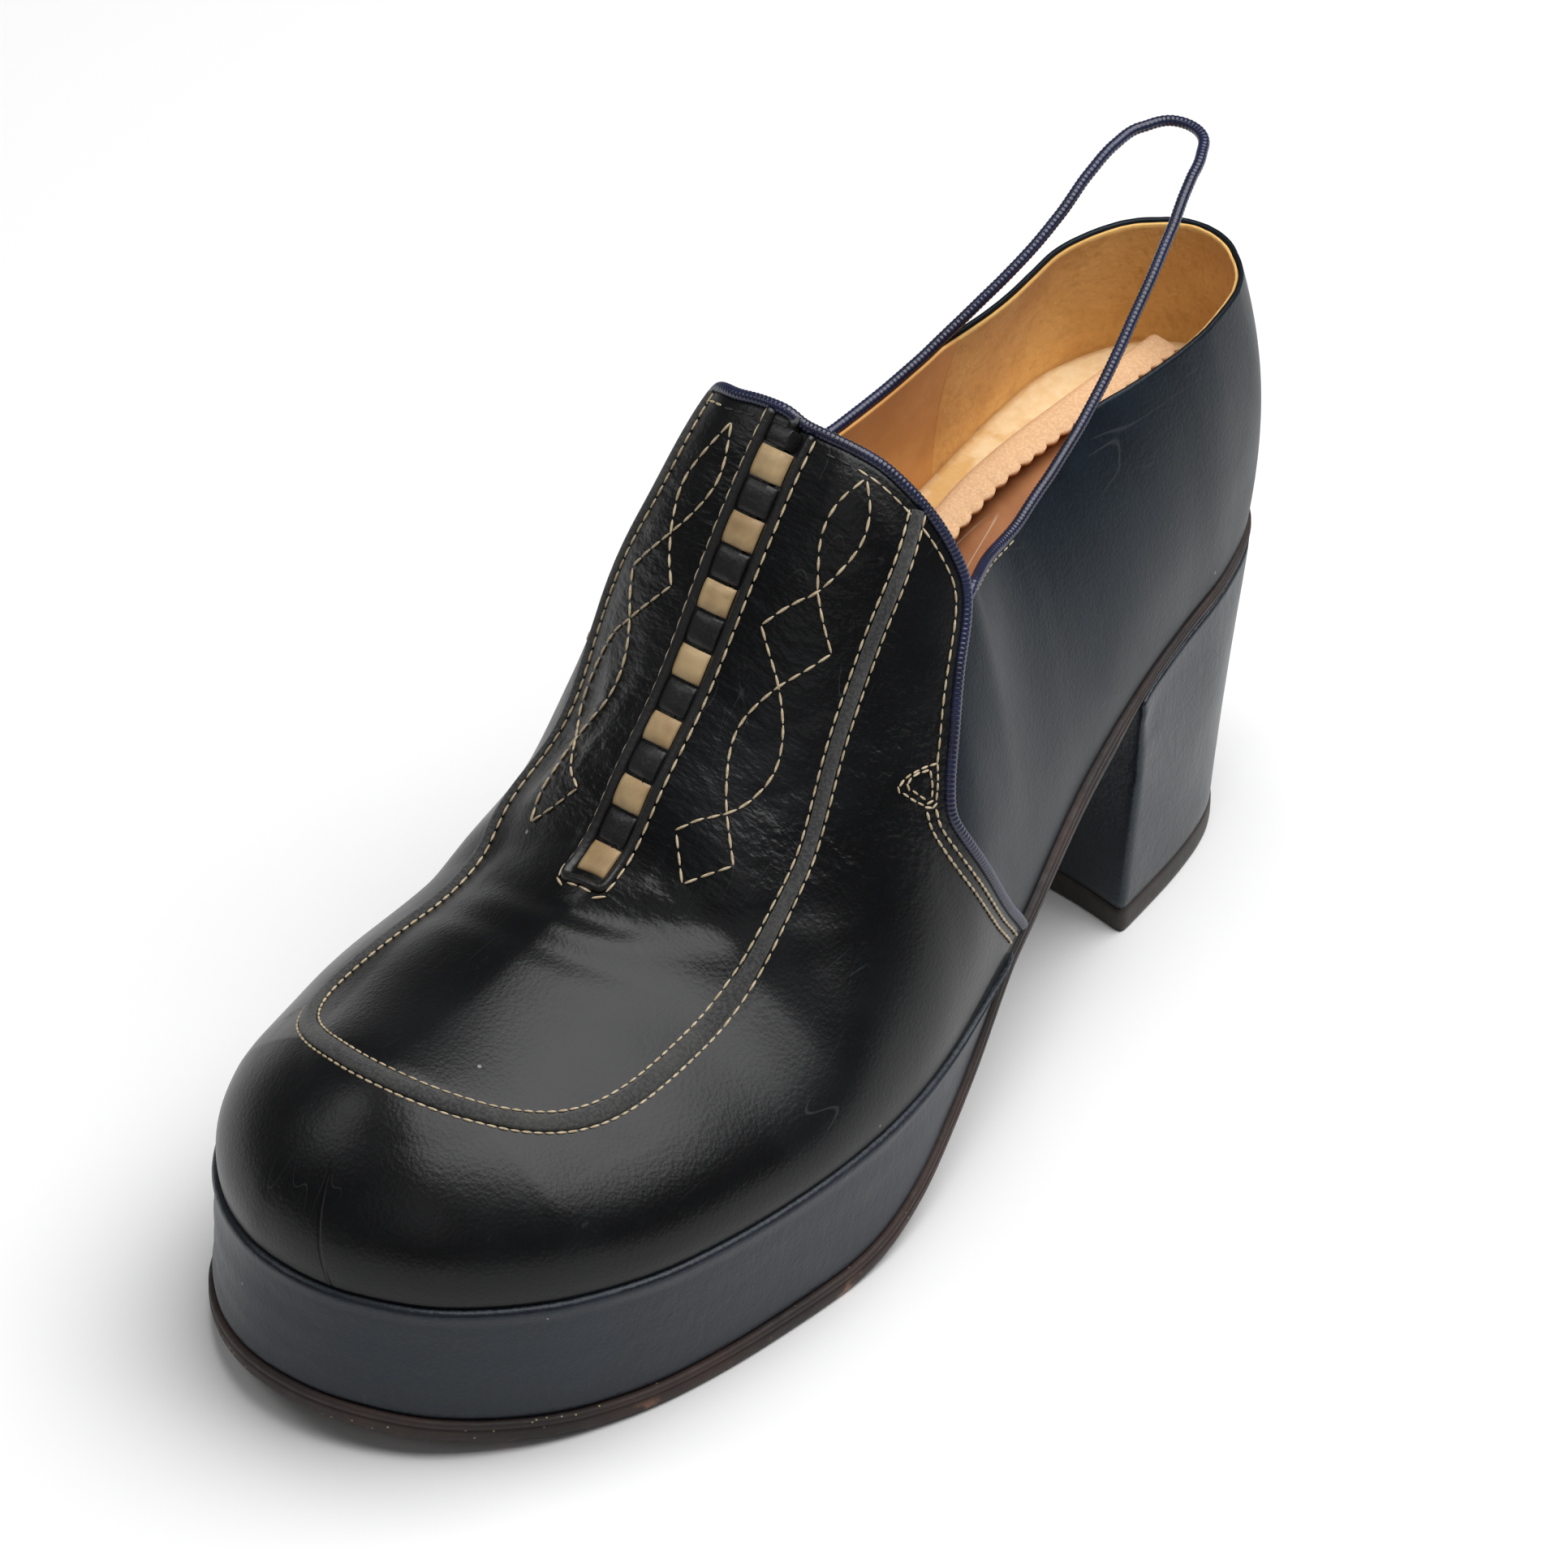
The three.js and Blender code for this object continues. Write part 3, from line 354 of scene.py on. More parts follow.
class Finish:
    """One material, with a Principled shader that its finish sets."""

    def __init__(self, name):
        self.material = bpy.data.materials.new(name)
        self.material.use_nodes = True
        self.tree = self.material.node_tree
        self.shader = self.tree.nodes["Principled BSDF"]
        self.coordinates = None

    def node(self, kind, settings, *values, **named):
        """Adds a node, sets it up, feeds its sockets, and returns its outputs."""
        node = self.tree.nodes.new(kind)
        for name, value in settings.items():
            if name == "stops":
                ramp = node.color_ramp
                while len(ramp.elements) < len(value):
                    ramp.elements.new(0.5)
                for element, (place, colour) in zip(ramp.elements, value):
                    element.position = place
                    element.color = (*colour, 1)
            else:
                setattr(node, name, value)
        by_name = [(node.inputs[k.replace("_", " ")], v) for k, v in named.items()]
        for socket, value in [*zip(node.inputs, values), *by_name]:
            self.feed(socket, value)
        return [Signal(self, output) for output in node.outputs if output.enabled]

    def feed(self, socket, value):
        if isinstance(value, Signal):
            self.tree.links.new(value.socket, socket)
        elif value is not None:
            if socket.type == "RGBA" and len(value) == 3:
                value = (*value, 1)
            socket.default_value = value

    def place(self, stretch=(1, 1, 1), turn=(0, 0, 0), shift=(0, 0, 0)):
        """Object coordinates in metres, stretched, turned or shifted for a pattern."""
        if self.coordinates is None:
            self.coordinates = self.node("ShaderNodeTexCoord", {})[3]
        if stretch == (1, 1, 1) and turn == (0, 0, 0) and shift == (0, 0, 0):
            return self.coordinates
        return self.node("ShaderNodeMapping", {}, self.coordinates, shift, turn, stretch)[0]

    def noise(self, scale, detail=3.0, rough=0.55, **where):
        return self.node("ShaderNodeTexNoise", {}, Vector=self.place(**where), Scale=scale, Detail=detail,
                         Roughness=rough)[0]

    def cells(self, scale, feature="F1", smoothness=None, randomness=1.0, **where):
        settings = {"feature": feature}
        named = {"Vector": self.place(**where), "Scale": scale, "Randomness": randomness}
        if smoothness is not None:
            named["Smoothness"] = smoothness
        return self.node("ShaderNodeTexVoronoi", settings, **named)

    def axes(self):
        return self.node("ShaderNodeSeparateXYZ", {}, self.place())

    def mix(self, share, first, second):
        """Colour that goes from the first to the second."""
        node = self.tree.nodes.new("ShaderNodeMix")
        node.data_type = "RGBA"
        node.clamp_factor = True
        self.feed(node.inputs[0], share)
        self.feed(node.inputs[6], first)
        self.feed(node.inputs[7], second)
        return Signal(self, node.outputs[2])

    def bump(self, height, depth, strength=1.0, after=None):
        """Relief whose height is given in metres at height 1."""
        named = {"Strength": strength, "Distance": depth, "Height": height}
        if after is not None:
            named["Normal"] = after
        return self.node("ShaderNodeBump", {}, **named)[0]

    def finish(self, colour=None, roughness=None, normal=None, **fixed):
        for name, value in (("Base Color", colour), ("Roughness", roughness), ("Normal", normal)):
            if value is not None:
                self.feed(self.shader.inputs[name], value)
        for name, value in fixed.items():
            self.shader.inputs[name.replace("_", " ")].default_value = value
        return self.material


def dull_spots(finish, scale, share):
    """Specks of dust: a few of the cells carry a small spot."""
    distance, colour, _ = finish.cells(scale)[:3]
    chosen = finish.node("ShaderNodeSeparateColor", {}, colour)[0]
    return (chosen < share) * (distance < 0.14)


def hairlines(finish, scale, turn, width=0.006):
    """Fine scratches: where a stretched noise crosses one value, in a few small patches."""
    lines = finish.noise(scale, detail=0.0, stretch=(1, 0.06, 0.3), turn=turn)
    patches = finish.noise(55.0, detail=1.0, shift=(3 + turn[0], 5, 1))
    return (1 - (abs(lines - 0.5) / width).between(0.2, 1.0)) * patches.between(0.60, 0.68)


def smooth_leather(name, dark, light, gloss=0.36, grain=1.0, dusty=0.010, wrinkle=0.0, scuffed=0.5):
    """Box calf with satin polish: fine pebbled grain, soft wrinkles, mottled dye, dust and scratches."""
    skin = Finish(name)
    mottle = skin.noise(34.0, detail=4.0)
    cloud = skin.noise(9.0, detail=2.0, shift=(1, 2, 3))
    pebble = skin.cells(1150.0, feature="SMOOTH_F1", smoothness=0.4)[0]
    pores = skin.noise(2600.0, detail=2.0)
    fleck = skin.noise(900.0, detail=2.0, shift=(2, 0, 5))
    folds = skin.noise(170.0, detail=4.0, rough=0.6, stretch=(1, 2.2, 1.5))
    scratch = hairlines(skin, 190.0, (0.4, 0.2, 0.9)) + hairlines(skin, 230.0, (1.1, 0.7, -0.6))
    dust = dull_spots(skin, 300.0, dusty)
    scuff = skin.noise(95.0, detail=5.0, rough=0.7, shift=(6, 1, 4)).between(0.62, 0.72)
    scuff = scuff * fleck.between(0.45, 0.6)
    faded = mottle.between(0.35, 0.7) * cloud.between(0.3, 0.75) + fleck.between(0.5, 0.72) * 0.4
    colour = skin.mix(faded, dark, light)
    colour = skin.mix(scratch * 0.22 + scuff * (0.25 * scuffed), colour, (0.075, 0.078, 0.083))
    colour = skin.mix(dust * 0.7, colour, (0.33, 0.31, 0.27))
    rough = gloss + mottle.between(0.3, 0.75) * 0.10 + scratch * 0.10 + dust * 0.3 + scuff * 0.12
    relief = skin.bump(pebble, 0.00010 * grain, after=skin.bump(pores, 0.00003))
    relief = skin.bump(folds, 0.00020 * (0.3 + wrinkle), after=relief)
    return skin, colour, rough, relief


def polished(parts, coat=0.10, shine=0.5, tint=(1, 1, 1)):
    """Closes a leather's tree, and returns its material."""
    skin, colour, rough, relief = parts
    return skin.finish(colour, rough, relief, Coat_Weight=coat, Coat_Roughness=0.28, IOR=1.48,
                       Specular_IOR_Level=shine, Specular_Tint=(*tint, 1))


NAVY_DARK = (0.0042, 0.0056, 0.0100)
NAVY_LIGHT = (0.0110, 0.0145, 0.0235)
QUARTER_DARK = (0.0020, 0.0046, 0.0085)
QUARTER_LIGHT = (0.0065, 0.0125, 0.0200)
BLUE = (0.84, 0.93, 1.0)


def creased_vamp():
    """The vamp's leather, wrinkled finely across the flap and the ball, with the seam down its toe."""
    skin, colour, rough, relief = smooth_leather(
        "vamp_leather", (0.0015, 0.0017, 0.0022), (0.0042, 0.0049, 0.0062), gloss=0.29, grain=0.4,
        wrinkle=-0.2)
    x, y, z = skin.axes()
    flap = z.between(0.066, 0.088) * (1 - y.between(-0.004, 0.012)) * y.between(-0.075, -0.052)
    fine = skin.noise(430.0, detail=3.0, rough=0.65, stretch=(0.22, 1.0, 0.8), turn=(0.0, 0.0, 0.35))
    coarse = skin.noise(150.0, detail=3.0, rough=0.6, stretch=(0.30, 1.0, 0.8), turn=(0.0, 0.0, 0.2))
    relief = skin.bump(fine * flap, 0.00042, after=relief)
    relief = skin.bump(coarse * flap, 0.00095, after=relief)
    off = abs(x + 0.31 * z - 0.0185)
    seam = (1 - off.between(0.00018, 0.00055)) * (1 - y.between(-0.1345, -0.1325))
    seam = seam * (1 - z.between(0.054, 0.060))
    colour = skin.mix(seam * 0.95, colour, (0.0004, 0.0004, 0.0004))
    relief = skin.bump(1 - seam, 0.00045, after=relief)
    return skin, colour, rough, relief


vamp_leather = polished(creased_vamp(), 0.04, 0.28)
quarter_leather = polished(smooth_leather(
    "quarter_leather", QUARTER_DARK, QUARTER_LIGHT, gloss=0.36, grain=0.4), 0.02, 0.26, BLUE)

# Quarters
# Two pieces of leather in one sheet here, round the heel and forward on both sides to where the
# vamp covers them. They end at the collar.

QUARTER_OUT = -1.0      # they lie under the vamp's leather
QUARTER_LEATHER = 0.9
VAMP_LEATHER = 1.0
LINING = 0.6


def side_columns(start, count):
    """Foot points from the outer side round the heel to the inner side."""
    outer = foot_at(1, np.linspace(start, 112, count))
    inner = foot_at(-1, np.linspace(112, start, count))
    back = rounded(FEATHER, 3600)
    round_heel = np.concatenate([
        outer_edge[outer_edge[:, 1] > 112.01], inner_edge[::-1][inner_edge[::-1][:, 1] > 112.01],
    ])
    steps = np.concatenate([[0], np.cumsum(np.linalg.norm(np.diff(round_heel, axis=0), axis=1))])
    even = np.linspace(0, steps[-1], 62)
    heel = np.stack([np.interp(even, steps, round_heel[:, k]) for k in (0, 1)], axis=-1)
    return np.concatenate([outer, heel[1:-1], inner])


COLLAR_PLAN = [  # the collar from above, from the outer side round the heel to the inner side
    (34.6, 15.5), (33.4, 20.0), (29.6, 27.0), (26.4, 34.0), (24.3, 42.0), (22.3, 51.0), (20.6, 61.0),
    (19.0, 71.0), (17.5, 80.0), (15.9, 89.0), (14.2, 97.0), (12.3, 105.0), (10.0, 113.0), (7.4, 121.0),
    (5.2, 128.0), (2.6, 133.6), (-1.0, 136.8), (-4.8, 137.6), (-9.0, 136.4), (-12.2, 133.2),
    (-13.9, 128.8), (-14.5, 124.0), (-14.7, 117.0),
    (-14.6, 110.0), (-14.8, 103.0), (-15.6, 96.3), (-17.2, 89.2), (-19.1, 82.8), (-20.9, 75.6), (-22.4, 67.8),
    (-24.0, 58.9), (-25.6, 49.5), (-27.2, 40.0), (-28.7, 31.0), (-30.2, 22.0), (-31.0, 15.5),
]


def collar_shift(foot):
    """How far each column's top moves, from the last's own line to the collar's plan."""
    now = last(foot, rib_up_to(foot, collar_z, 1500))[:, :2]
    plan = rounded(COLLAR_PLAN, 900, closed=False)
    back = FAN_HEEL * LENGTH
    apex = int(np.argmax(plan[:, 1]))
    outer_plan, inner_plan = plan[: apex + 1], plan[apex:]
    want = now.copy()
    outer_side = foot[:, 0] > -2
    straight = foot[:, 1] <= back
    for side, line in ((outer_side, outer_plan), (~outer_side, inner_plan[::-1])):
        at = side & straight
        want[at, 0] = np.interp(now[at, 1], line[:, 1], line[:, 0])
    round_back = np.flatnonzero(~straight)
    arc = plan[plan[:, 1] > back]
    run = np.concatenate([[0], np.cumsum(np.linalg.norm(np.diff(arc, axis=0), axis=1))])
    own = now[round_back]
    own_run = np.concatenate([[0], np.cumsum(np.linalg.norm(np.diff(own, axis=0), axis=1))])
    share = own_run / own_run[-1] * run[-1]
    want[round_back] = np.stack([np.interp(share, run, arc[:, k]) for k in (0, 1)], axis=-1)
    shift = np.concatenate([want - now, np.zeros((len(foot), 1))], axis=-1)
    shift[foot[:, 1] < 14] = 0
    return smoothed(shift, 4)


def smoothed(points, rounds):
    points = points.copy()
    for _ in range(rounds):
        points[1:-1] = 0.5 * points[1:-1] + 0.25 * (points[:-2] + points[2:])
    return points


def quarter_grid(start, rows, height, out):
    foot = side_columns(start, 90)
    top = rib_up_to(foot, height, 1500)
    v = np.linspace(0, 1, rows)[:, None] ** 0.95 * top[None]
    grid = last(np.repeat(foot[None], rows, axis=0), v)
    low = feather_z(foot[:, 0], foot[:, 1])
    risen = np.clip((grid[..., 2] - low) / (collar_z(grid[-1, :, 1]) - low), 0, 1.02)
    grid = grid + collar_shift(foot)[None] * (risen**1.6)[..., None]
    return grid + grid_normals(grid) * out


def quarter_top(y):
    """The collar's height, and under the vamp a front end that slopes with the vamp's edge."""
    return np.minimum(collar_z(y), np.interp(y, (-7.0, -3.4, 2.0, 8.0, 14.0), (84, 94, 110, 119, 124)))


quarters = shell_mesh(
    "quarters", quarter_grid(-6.0, 60, quarter_top, QUARTER_OUT), QUARTER_LEATHER, quarter_leather)
clean(quarters)
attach(quarters, "root")
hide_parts("upper")

# Vamp
# One sheet over the toe and both sides of the foot, with the apron and the tall flap, lying on the
# quarters. Its leather is creased where the foot bends.

FAN_COLUMNS = 66
SIDE_COLUMNS = 64
REAR_COLUMNS = 26
VAMP_ROWS = 78
REAR_START = -30.0


def vamp_columns(v):
    """Foot points for every column at the heights v, with the rear columns bent to the vamp's edge."""
    split = FAN_TOE * LENGTH
    front = np.concatenate([
        inner_edge[inner_edge[:, 1] < split][::-1][:-1], outer_edge[outer_edge[:, 1] < split][1:],
    ])
    steps = np.concatenate([[0], np.cumsum(np.linalg.norm(np.diff(front, axis=0), axis=1))])
    even = np.linspace(0, steps[-1], FAN_COLUMNS)
    fan = np.stack([np.interp(even, steps, front[:, k]) for k in (0, 1)], axis=-1)
    side_y = np.linspace(split, REAR_START, SIDE_COLUMNS)
    share = np.linspace(0, 1, REAR_COLUMNS + 1)[1:]

    def rear(side):
        edge_y = np.full(len(v), 15.0)
        for _ in range(60):
            z = last(foot_at(side, edge_y), v)[:, 2]
            edge_y = 0.6 * edge_y + 0.4 * np.interp(z, vamp_rear[:, 1], vamp_rear[:, 0])
        return REAR_START + (edge_y - REAR_START)[:, None] * share[None]

    inner = [foot_at(-1, rear(-1))[:, ::-1], np.repeat(foot_at(-1, side_y[::-1])[None], len(v), axis=0)]
    outer = [np.repeat(foot_at(1, side_y)[None], len(v), axis=0), foot_at(1, rear(1))]
    return np.concatenate([*inner, np.repeat(fan[None], len(v), axis=0), *outer], axis=1)


vamp_v = np.linspace(0, 1, VAMP_ROWS) ** 0.92
vamp_foot = vamp_columns(vamp_v)
vamp_grid = last(vamp_foot, np.repeat(vamp_v[:, None], vamp_foot.shape[1], axis=1))
vamp = make_mesh("vamp", vamp_grid.reshape(-1, 3), grid_faces(*vamp_grid.shape[:2]), vamp_leather)
clean(vamp, 3e-5)


def relax(piece, chosen, rounds):
    """Evens out a few of a mesh's points, so that no ridge or pole shows in the gloss."""
    shell = bmesh.new()
    shell.from_mesh(piece.data)
    verts = [v for v in shell.verts if chosen(v.co) and not v.is_boundary]
    for _ in range(rounds):
        bmesh.ops.smooth_vert(
            shell, verts=verts, factor=0.5, use_axis_x=True, use_axis_y=True, use_axis_z=True)
    shell.to_mesh(piece.data)
    shell.free()


relax(vamp, lambda p: abs(p.x - ORIGIN[0]) < 0.010, 14)


def point_array(piece):
    points = np.empty(len(piece.data.vertices) * 3)
    piece.data.vertices.foreach_get("co", points)
    return points.reshape(-1, 3)


def press(piece, relief):
    """Moves a mesh's points along their normals by relief(points), in millimetres on the last's scale."""
    points = point_array(piece)
    normals = np.empty(len(points) * 3)
    piece.data.vertex_normals.foreach_get("vector", normals)
    local = (points - ORIGIN) * 1000
    moved = points + normals.reshape(-1, 3) * relief(local)[:, None] / 1000
    piece.data.vertices.foreach_set("co", moved.ravel())
    piece.data.update()


def distance_to(points, line):
    """Distance from points to a line through a few places, and the share of the line's length there."""
    line = np.asarray(line, float)
    best = np.full(len(points), 1e9)
    share = np.zeros(len(points))
    for k, (a, b) in enumerate(zip(line[:-1], line[1:])):
        ab = b - a
        t = np.clip(((points - a) @ ab) / (ab @ ab), 0, 1)
        d = np.linalg.norm(points - (a + t[:, None] * ab), axis=1)
        closer = d < best
        best = np.where(closer, d, best)
        share = np.where(closer, (k + t) / (len(line) - 1), share)
    return best, share


def crease(points, line, depth, width):
    """Soft trough along a line, with a low ridge on each side, fading out at its ends."""
    d, share = distance_to(points, rounded(line, 24, closed=False))
    fade = np.sin(math.pi * np.clip(share, 0.02, 0.98)) ** 0.5
    trough = -np.exp(-((d / width) ** 2))
    ridge = 0.45 * np.exp(-(((d - 2 * width) / width) ** 2))
    return depth * fade * (trough + ridge)


# x, y and z on the last of each crease: across the ball, at the strip's foot and down the flap's sides.
CREASES = [
    ([(-24, -58, 70), (-8, -63, 75), (5, -62, 75), (18, -54, 75), (30, -42, 72)], 0.8, 3.2),
    ([(-30, -66, 60), (-12, -72, 72), (4, -73, 73), (20, -66, 70)], 0.35, 3.0),
    ([(30, -40, 74), (36, -30, 72), (41, -18, 68)], 0.5, 3.0),
    ([(12, -40, 88), (18, -34, 90), (24, -25, 92), (27, -16, 98)], 0.35, 2.2),
    ([(14, -31, 98), (20, -22, 102), (24, -12, 108)], 0.25, 1.8),
    ([(-32, -40, 66), (-26, -28, 86), (-24, -18, 98)], 0.5, 2.6),
    ([(30, -14, 102), (36, -8, 98), (42, -2, 92)], 0.3, 2.4),
    ([(-20, -34, 84), (-16, -26, 98), (-14, -18, 108)], 0.3, 2.0),
]


def vamp_relief(points):
    total = np.zeros(len(points))
    for line, depth, width in CREASES:
        total += crease(points, line, depth, width)
    toe_dent = np.exp(-((points[:, 0] / 26) ** 2 + ((points[:, 1] + 88) / 18) ** 2))
    return total - 0.8 * toe_dent * (points[:, 2] > 55)


press(vamp, vamp_relief)
vamp_points = point_array(vamp)
vamp_surface = BVHTree.FromPolygons(
    [tuple(p) for p in vamp_points], [tuple(p.vertices) for p in vamp.data.polygons])


def settle(points, height=0.0):
    """Lays points on the vamp's leather, at a height over it in millimetres."""
    laid = []
    for point in to_frame(points):
        place, normal, _, _ = vamp_surface.find_nearest(Vector(point))
        laid.append(np.array(place + normal * (height / 1000)))
    return (np.array(laid) - ORIGIN) * 1000


thickness = vamp.modifiers.new("leather", "SOLIDIFY")
thickness.thickness = VAMP_LEATHER / 1000
thickness.offset = -1


def apply_modifiers(piece):
    """Turns a piece with modifiers into a plain mesh."""
    evaluated = piece.evaluated_get(bpy.context.evaluated_depsgraph_get())
    mesh = bpy.data.meshes.new_from_object(evaluated)
    piece.modifiers.clear()
    old = piece.data
    piece.data = mesh
    mesh.name = piece.name
    bpy.data.meshes.remove(old)
    return piece


apply_modifiers(vamp)
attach(vamp, "root")
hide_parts("upper")

# Lining
# Tan leather inside the whole upper, ochre and napped at the heel.

lining = Finish("lining_leather")
ly = lining.axes()[1]
nap = lining.noise(520.0, detail=3.0)
hair = lining.noise(900.0, detail=2.0, stretch=(1, 0.3, 0.5))
stain = lining.noise(42.0, detail=4.0)
front_part = 1 - ly.between(0.0810, 0.0818)
napped = lining.mix(stain.between(0.3, 0.72), (0.66, 0.35, 0.085), (0.84, 0.52, 0.165))
napped = lining.mix(hair.between(0.5, 0.7) * 0.3, napped, (0.50, 0.24, 0.05))
grained = lining.mix(stain.between(0.35, 0.7), (0.60, 0.27, 0.060), (0.74, 0.38, 0.105))
lining_colour = lining.mix(front_part, napped, grained)
lining.finish(lining_colour, 0.82 - front_part * 0.25, lining.bump(nap * (1 - front_part * 0.8), 0.00030,
              after=lining.bump(stain, 0.0008)), Sheen_Weight=0.1, Sheen_Roughness=0.6)


def lining_top(y):
    return quarter_top(y) - 0.4


lining_grid = quarter_grid(4.0, 46, lining_top, -2.2)
heel_lining = shell_mesh("heel_lining", lining_grid, LINING, lining.material)
clean(heel_lining)
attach(heel_lining, "root")
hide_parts("upper")

vamp_inside = vamp_grid + grid_normals(vamp_grid) * -2.0
vamp_lining = make_mesh(
    "vamp_lining", vamp_inside.reshape(-1, 3), grid_faces(*vamp_grid.shape[:2]), lining.material)
clean(vamp_lining, 3e-4)
relax(vamp_lining, lambda p: abs(p.x - ORIGIN[0]) < 0.012, 3)
sheet = vamp_lining.modifiers.new("leather", "SOLIDIFY")
sheet.thickness = LINING / 1000
sheet.offset = -1
apply_modifiers(vamp_lining)
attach(vamp_lining, "root")
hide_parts("upper")

# Apron band
# Raised strip of napped charcoal leather over the apron's seam, sewn along both edges.

BAND_WIDTH = 3.5        # round the toe
BAND_NARROW = 0.70      # share of it up the flap
BAND_RISE = 1.1

suede = Finish("charcoal_suede")
fibre = suede.noise(1500.0, detail=3.0)
fade = suede.noise(60.0, detail=3.0)
suede_colour = suede.mix(fibre.between(0.35, 0.7), (0.018, 0.019, 0.019), (0.052, 0.053, 0.051))
suede_colour = suede.mix(fade.between(0.4, 0.8) * 0.5, suede_colour, (0.075, 0.075, 0.070))
suede.finish(suede_colour, 0.92, suede.bump(fibre, 0.00025), Sheen_Weight=0.15, Sheen_Roughness=0.5)


SEAM_PLAN = [  # seen from above, from the flap's edge on the inner side round the toe and back
    (-24.6, 10.5), (-24.9, 5.0), (-25.8, -0.5), (-27.2, -4.8), (-30.0, -9.0), (-32.4, -13.0), (-33.0, -17.5),
    (-32.6, -22.0), (-33.6, -28.0), (-35.4, -32.5), (-36.6, -38.0), (-36.0, -46.0), (-34.8, -54.0),
    (-34.3, -62.0), (-34.8, -74.0), (-35.6, -86.0), (-35.0, -96.0), (-30.5, -105.0),
    (-23.0, -111.8), (-13.5, -116.3), (-2.0, -118.8), (9.5, -117.0), (19.5, -111.8), (27.0, -103.8),
    (32.0, -94.0), (34.2, -82.0), (33.9, -67.0), (33.3, -52.7), (32.9, -42.0), (31.9, -32.0), (30.0, -24.5),
    (28.4, -18.0), (27.6, -11.6), (27.1, -5.6), (27.1, -1.5), (27.1, 2.0), (26.6, 5.6), (25.5, 9.5),
    (24.3, 12.6),
]


def even_path(points, step, closed=False):
    """The same path with its points at even steps, in millimetres."""
    points = np.asarray(points, float)
    if closed:
        points = np.concatenate([points, points[:1]])
    run = np.concatenate([[0], np.cumsum(np.linalg.norm(np.diff(points, axis=0), axis=1))])
    keep = np.concatenate([[True], np.diff(run) > 1e-6])
    points, run = points[keep], run[keep]
    count = max(int(round(run[-1] / step)), 2)
    at = np.linspace(0, run[-1], count + 1)
    even = np.stack([np.interp(at, run, points[:, k]) for k in range(3)], axis=-1)
    return even[:-1] if closed else even


def side_vectors(path, normals):
    ahead = np.gradient(path, axis=0)
    ahead /= np.maximum(np.linalg.norm(ahead, axis=1, keepdims=True), 1e-9)
    side = np.cross(ahead, normals)
    return side / np.maximum(np.linalg.norm(side, axis=1, keepdims=True), 1e-9)


def surface_normals(points):
    found = []
    for point in to_frame(points):
        _, normal, _, _ = vamp_surface.find_nearest(Vector(point))
        found.append(np.array(normal))
    return smoothed(np.array(found), 6)


def band(name, path, section, material, width=1.0):
    """Strip along a path on the vamp; section lists each corner's distance to the side and height."""
    path = settle(path)
    normals = surface_normals(path)
    side = side_vectors(path, normals)
    width = np.ones(len(path)) * width
    rows = []
    for across, rise in section:
        base = settle(path + side * across * width[:, None])
        rows.append(base + surface_normals(base) * rise)
    grid = np.stack(rows)
    rows_n, columns = grid.shape[:2]
    faces = grid_faces(rows_n, columns)
    last_row = (rows_n - 1) * columns
    faces += [[last_row + j, last_row + j + 1, j + 1, j] for j in range(columns - 1)]
    faces.append([i * columns for i in range(rows_n)][::-1])
    faces.append([i * columns + columns - 1 for i in range(rows_n)])
    piece = make_mesh(name, grid.reshape(-1, 3), faces, material)
    clean(piece)
    return piece


def drop(plan, height=0.0):
    """Lays points given from above, in x and y, on the vamp's leather."""
    laid = []
    for x, y in plan:
        start = Vector(to_frame((x, y, 260)))
        place, normal, _, _ = vamp_surface.ray_cast(start, Vector((0, 0, -1)))
        if place is None:
            place, normal, _, _ = vamp_surface.find_nearest(Vector(to_frame((x, y, 100))))
        laid.append(np.array(place + normal * (height / 1000)))
    return (np.array(laid) - ORIGIN) * 1000


seam = smoothed(even_path(smoothed(even_path(drop(rounded(SEAM_PLAN, 400, closed=False)), 1.2), 8), 1.2), 4)
half = BAND_WIDTH / 2
up_flap = smooth(-62, -30, seam[:, 1])
band_width = 1 - (1 - BAND_NARROW) * up_flap
band_section = [
    (-half, -0.3), (-half, 0.45), (-half + 0.35, 0.8), (-half + 1.0, 0.95), (-0.5, BAND_RISE),
    (0.5, BAND_RISE), (half - 1.0, 0.95), (half - 0.35, 0.8), (half, 0.45), (half, -0.3),
]
apron_band = band("apron_band", seam, band_section, suede.material, band_width)
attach(apron_band, "root")
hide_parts("apron_seam")

# Thread
# Cream waxed thread: single stitches of 3 mm with short gaps, laid along paths on the leather.

STITCH = 3.0
STITCH_GAP = 0.35
THREAD = 0.29      # half its thickness

cream_thread = Finish("cream_thread")
ply = cream_thread.noise(900.0, detail=2.0)
cream_thread.finish(cream_thread.mix(ply.between(0.3, 0.7), (0.36, 0.28, 0.17), (0.58, 0.48, 0.33)), 0.6,
                    cream_thread.bump(ply, 0.0001))


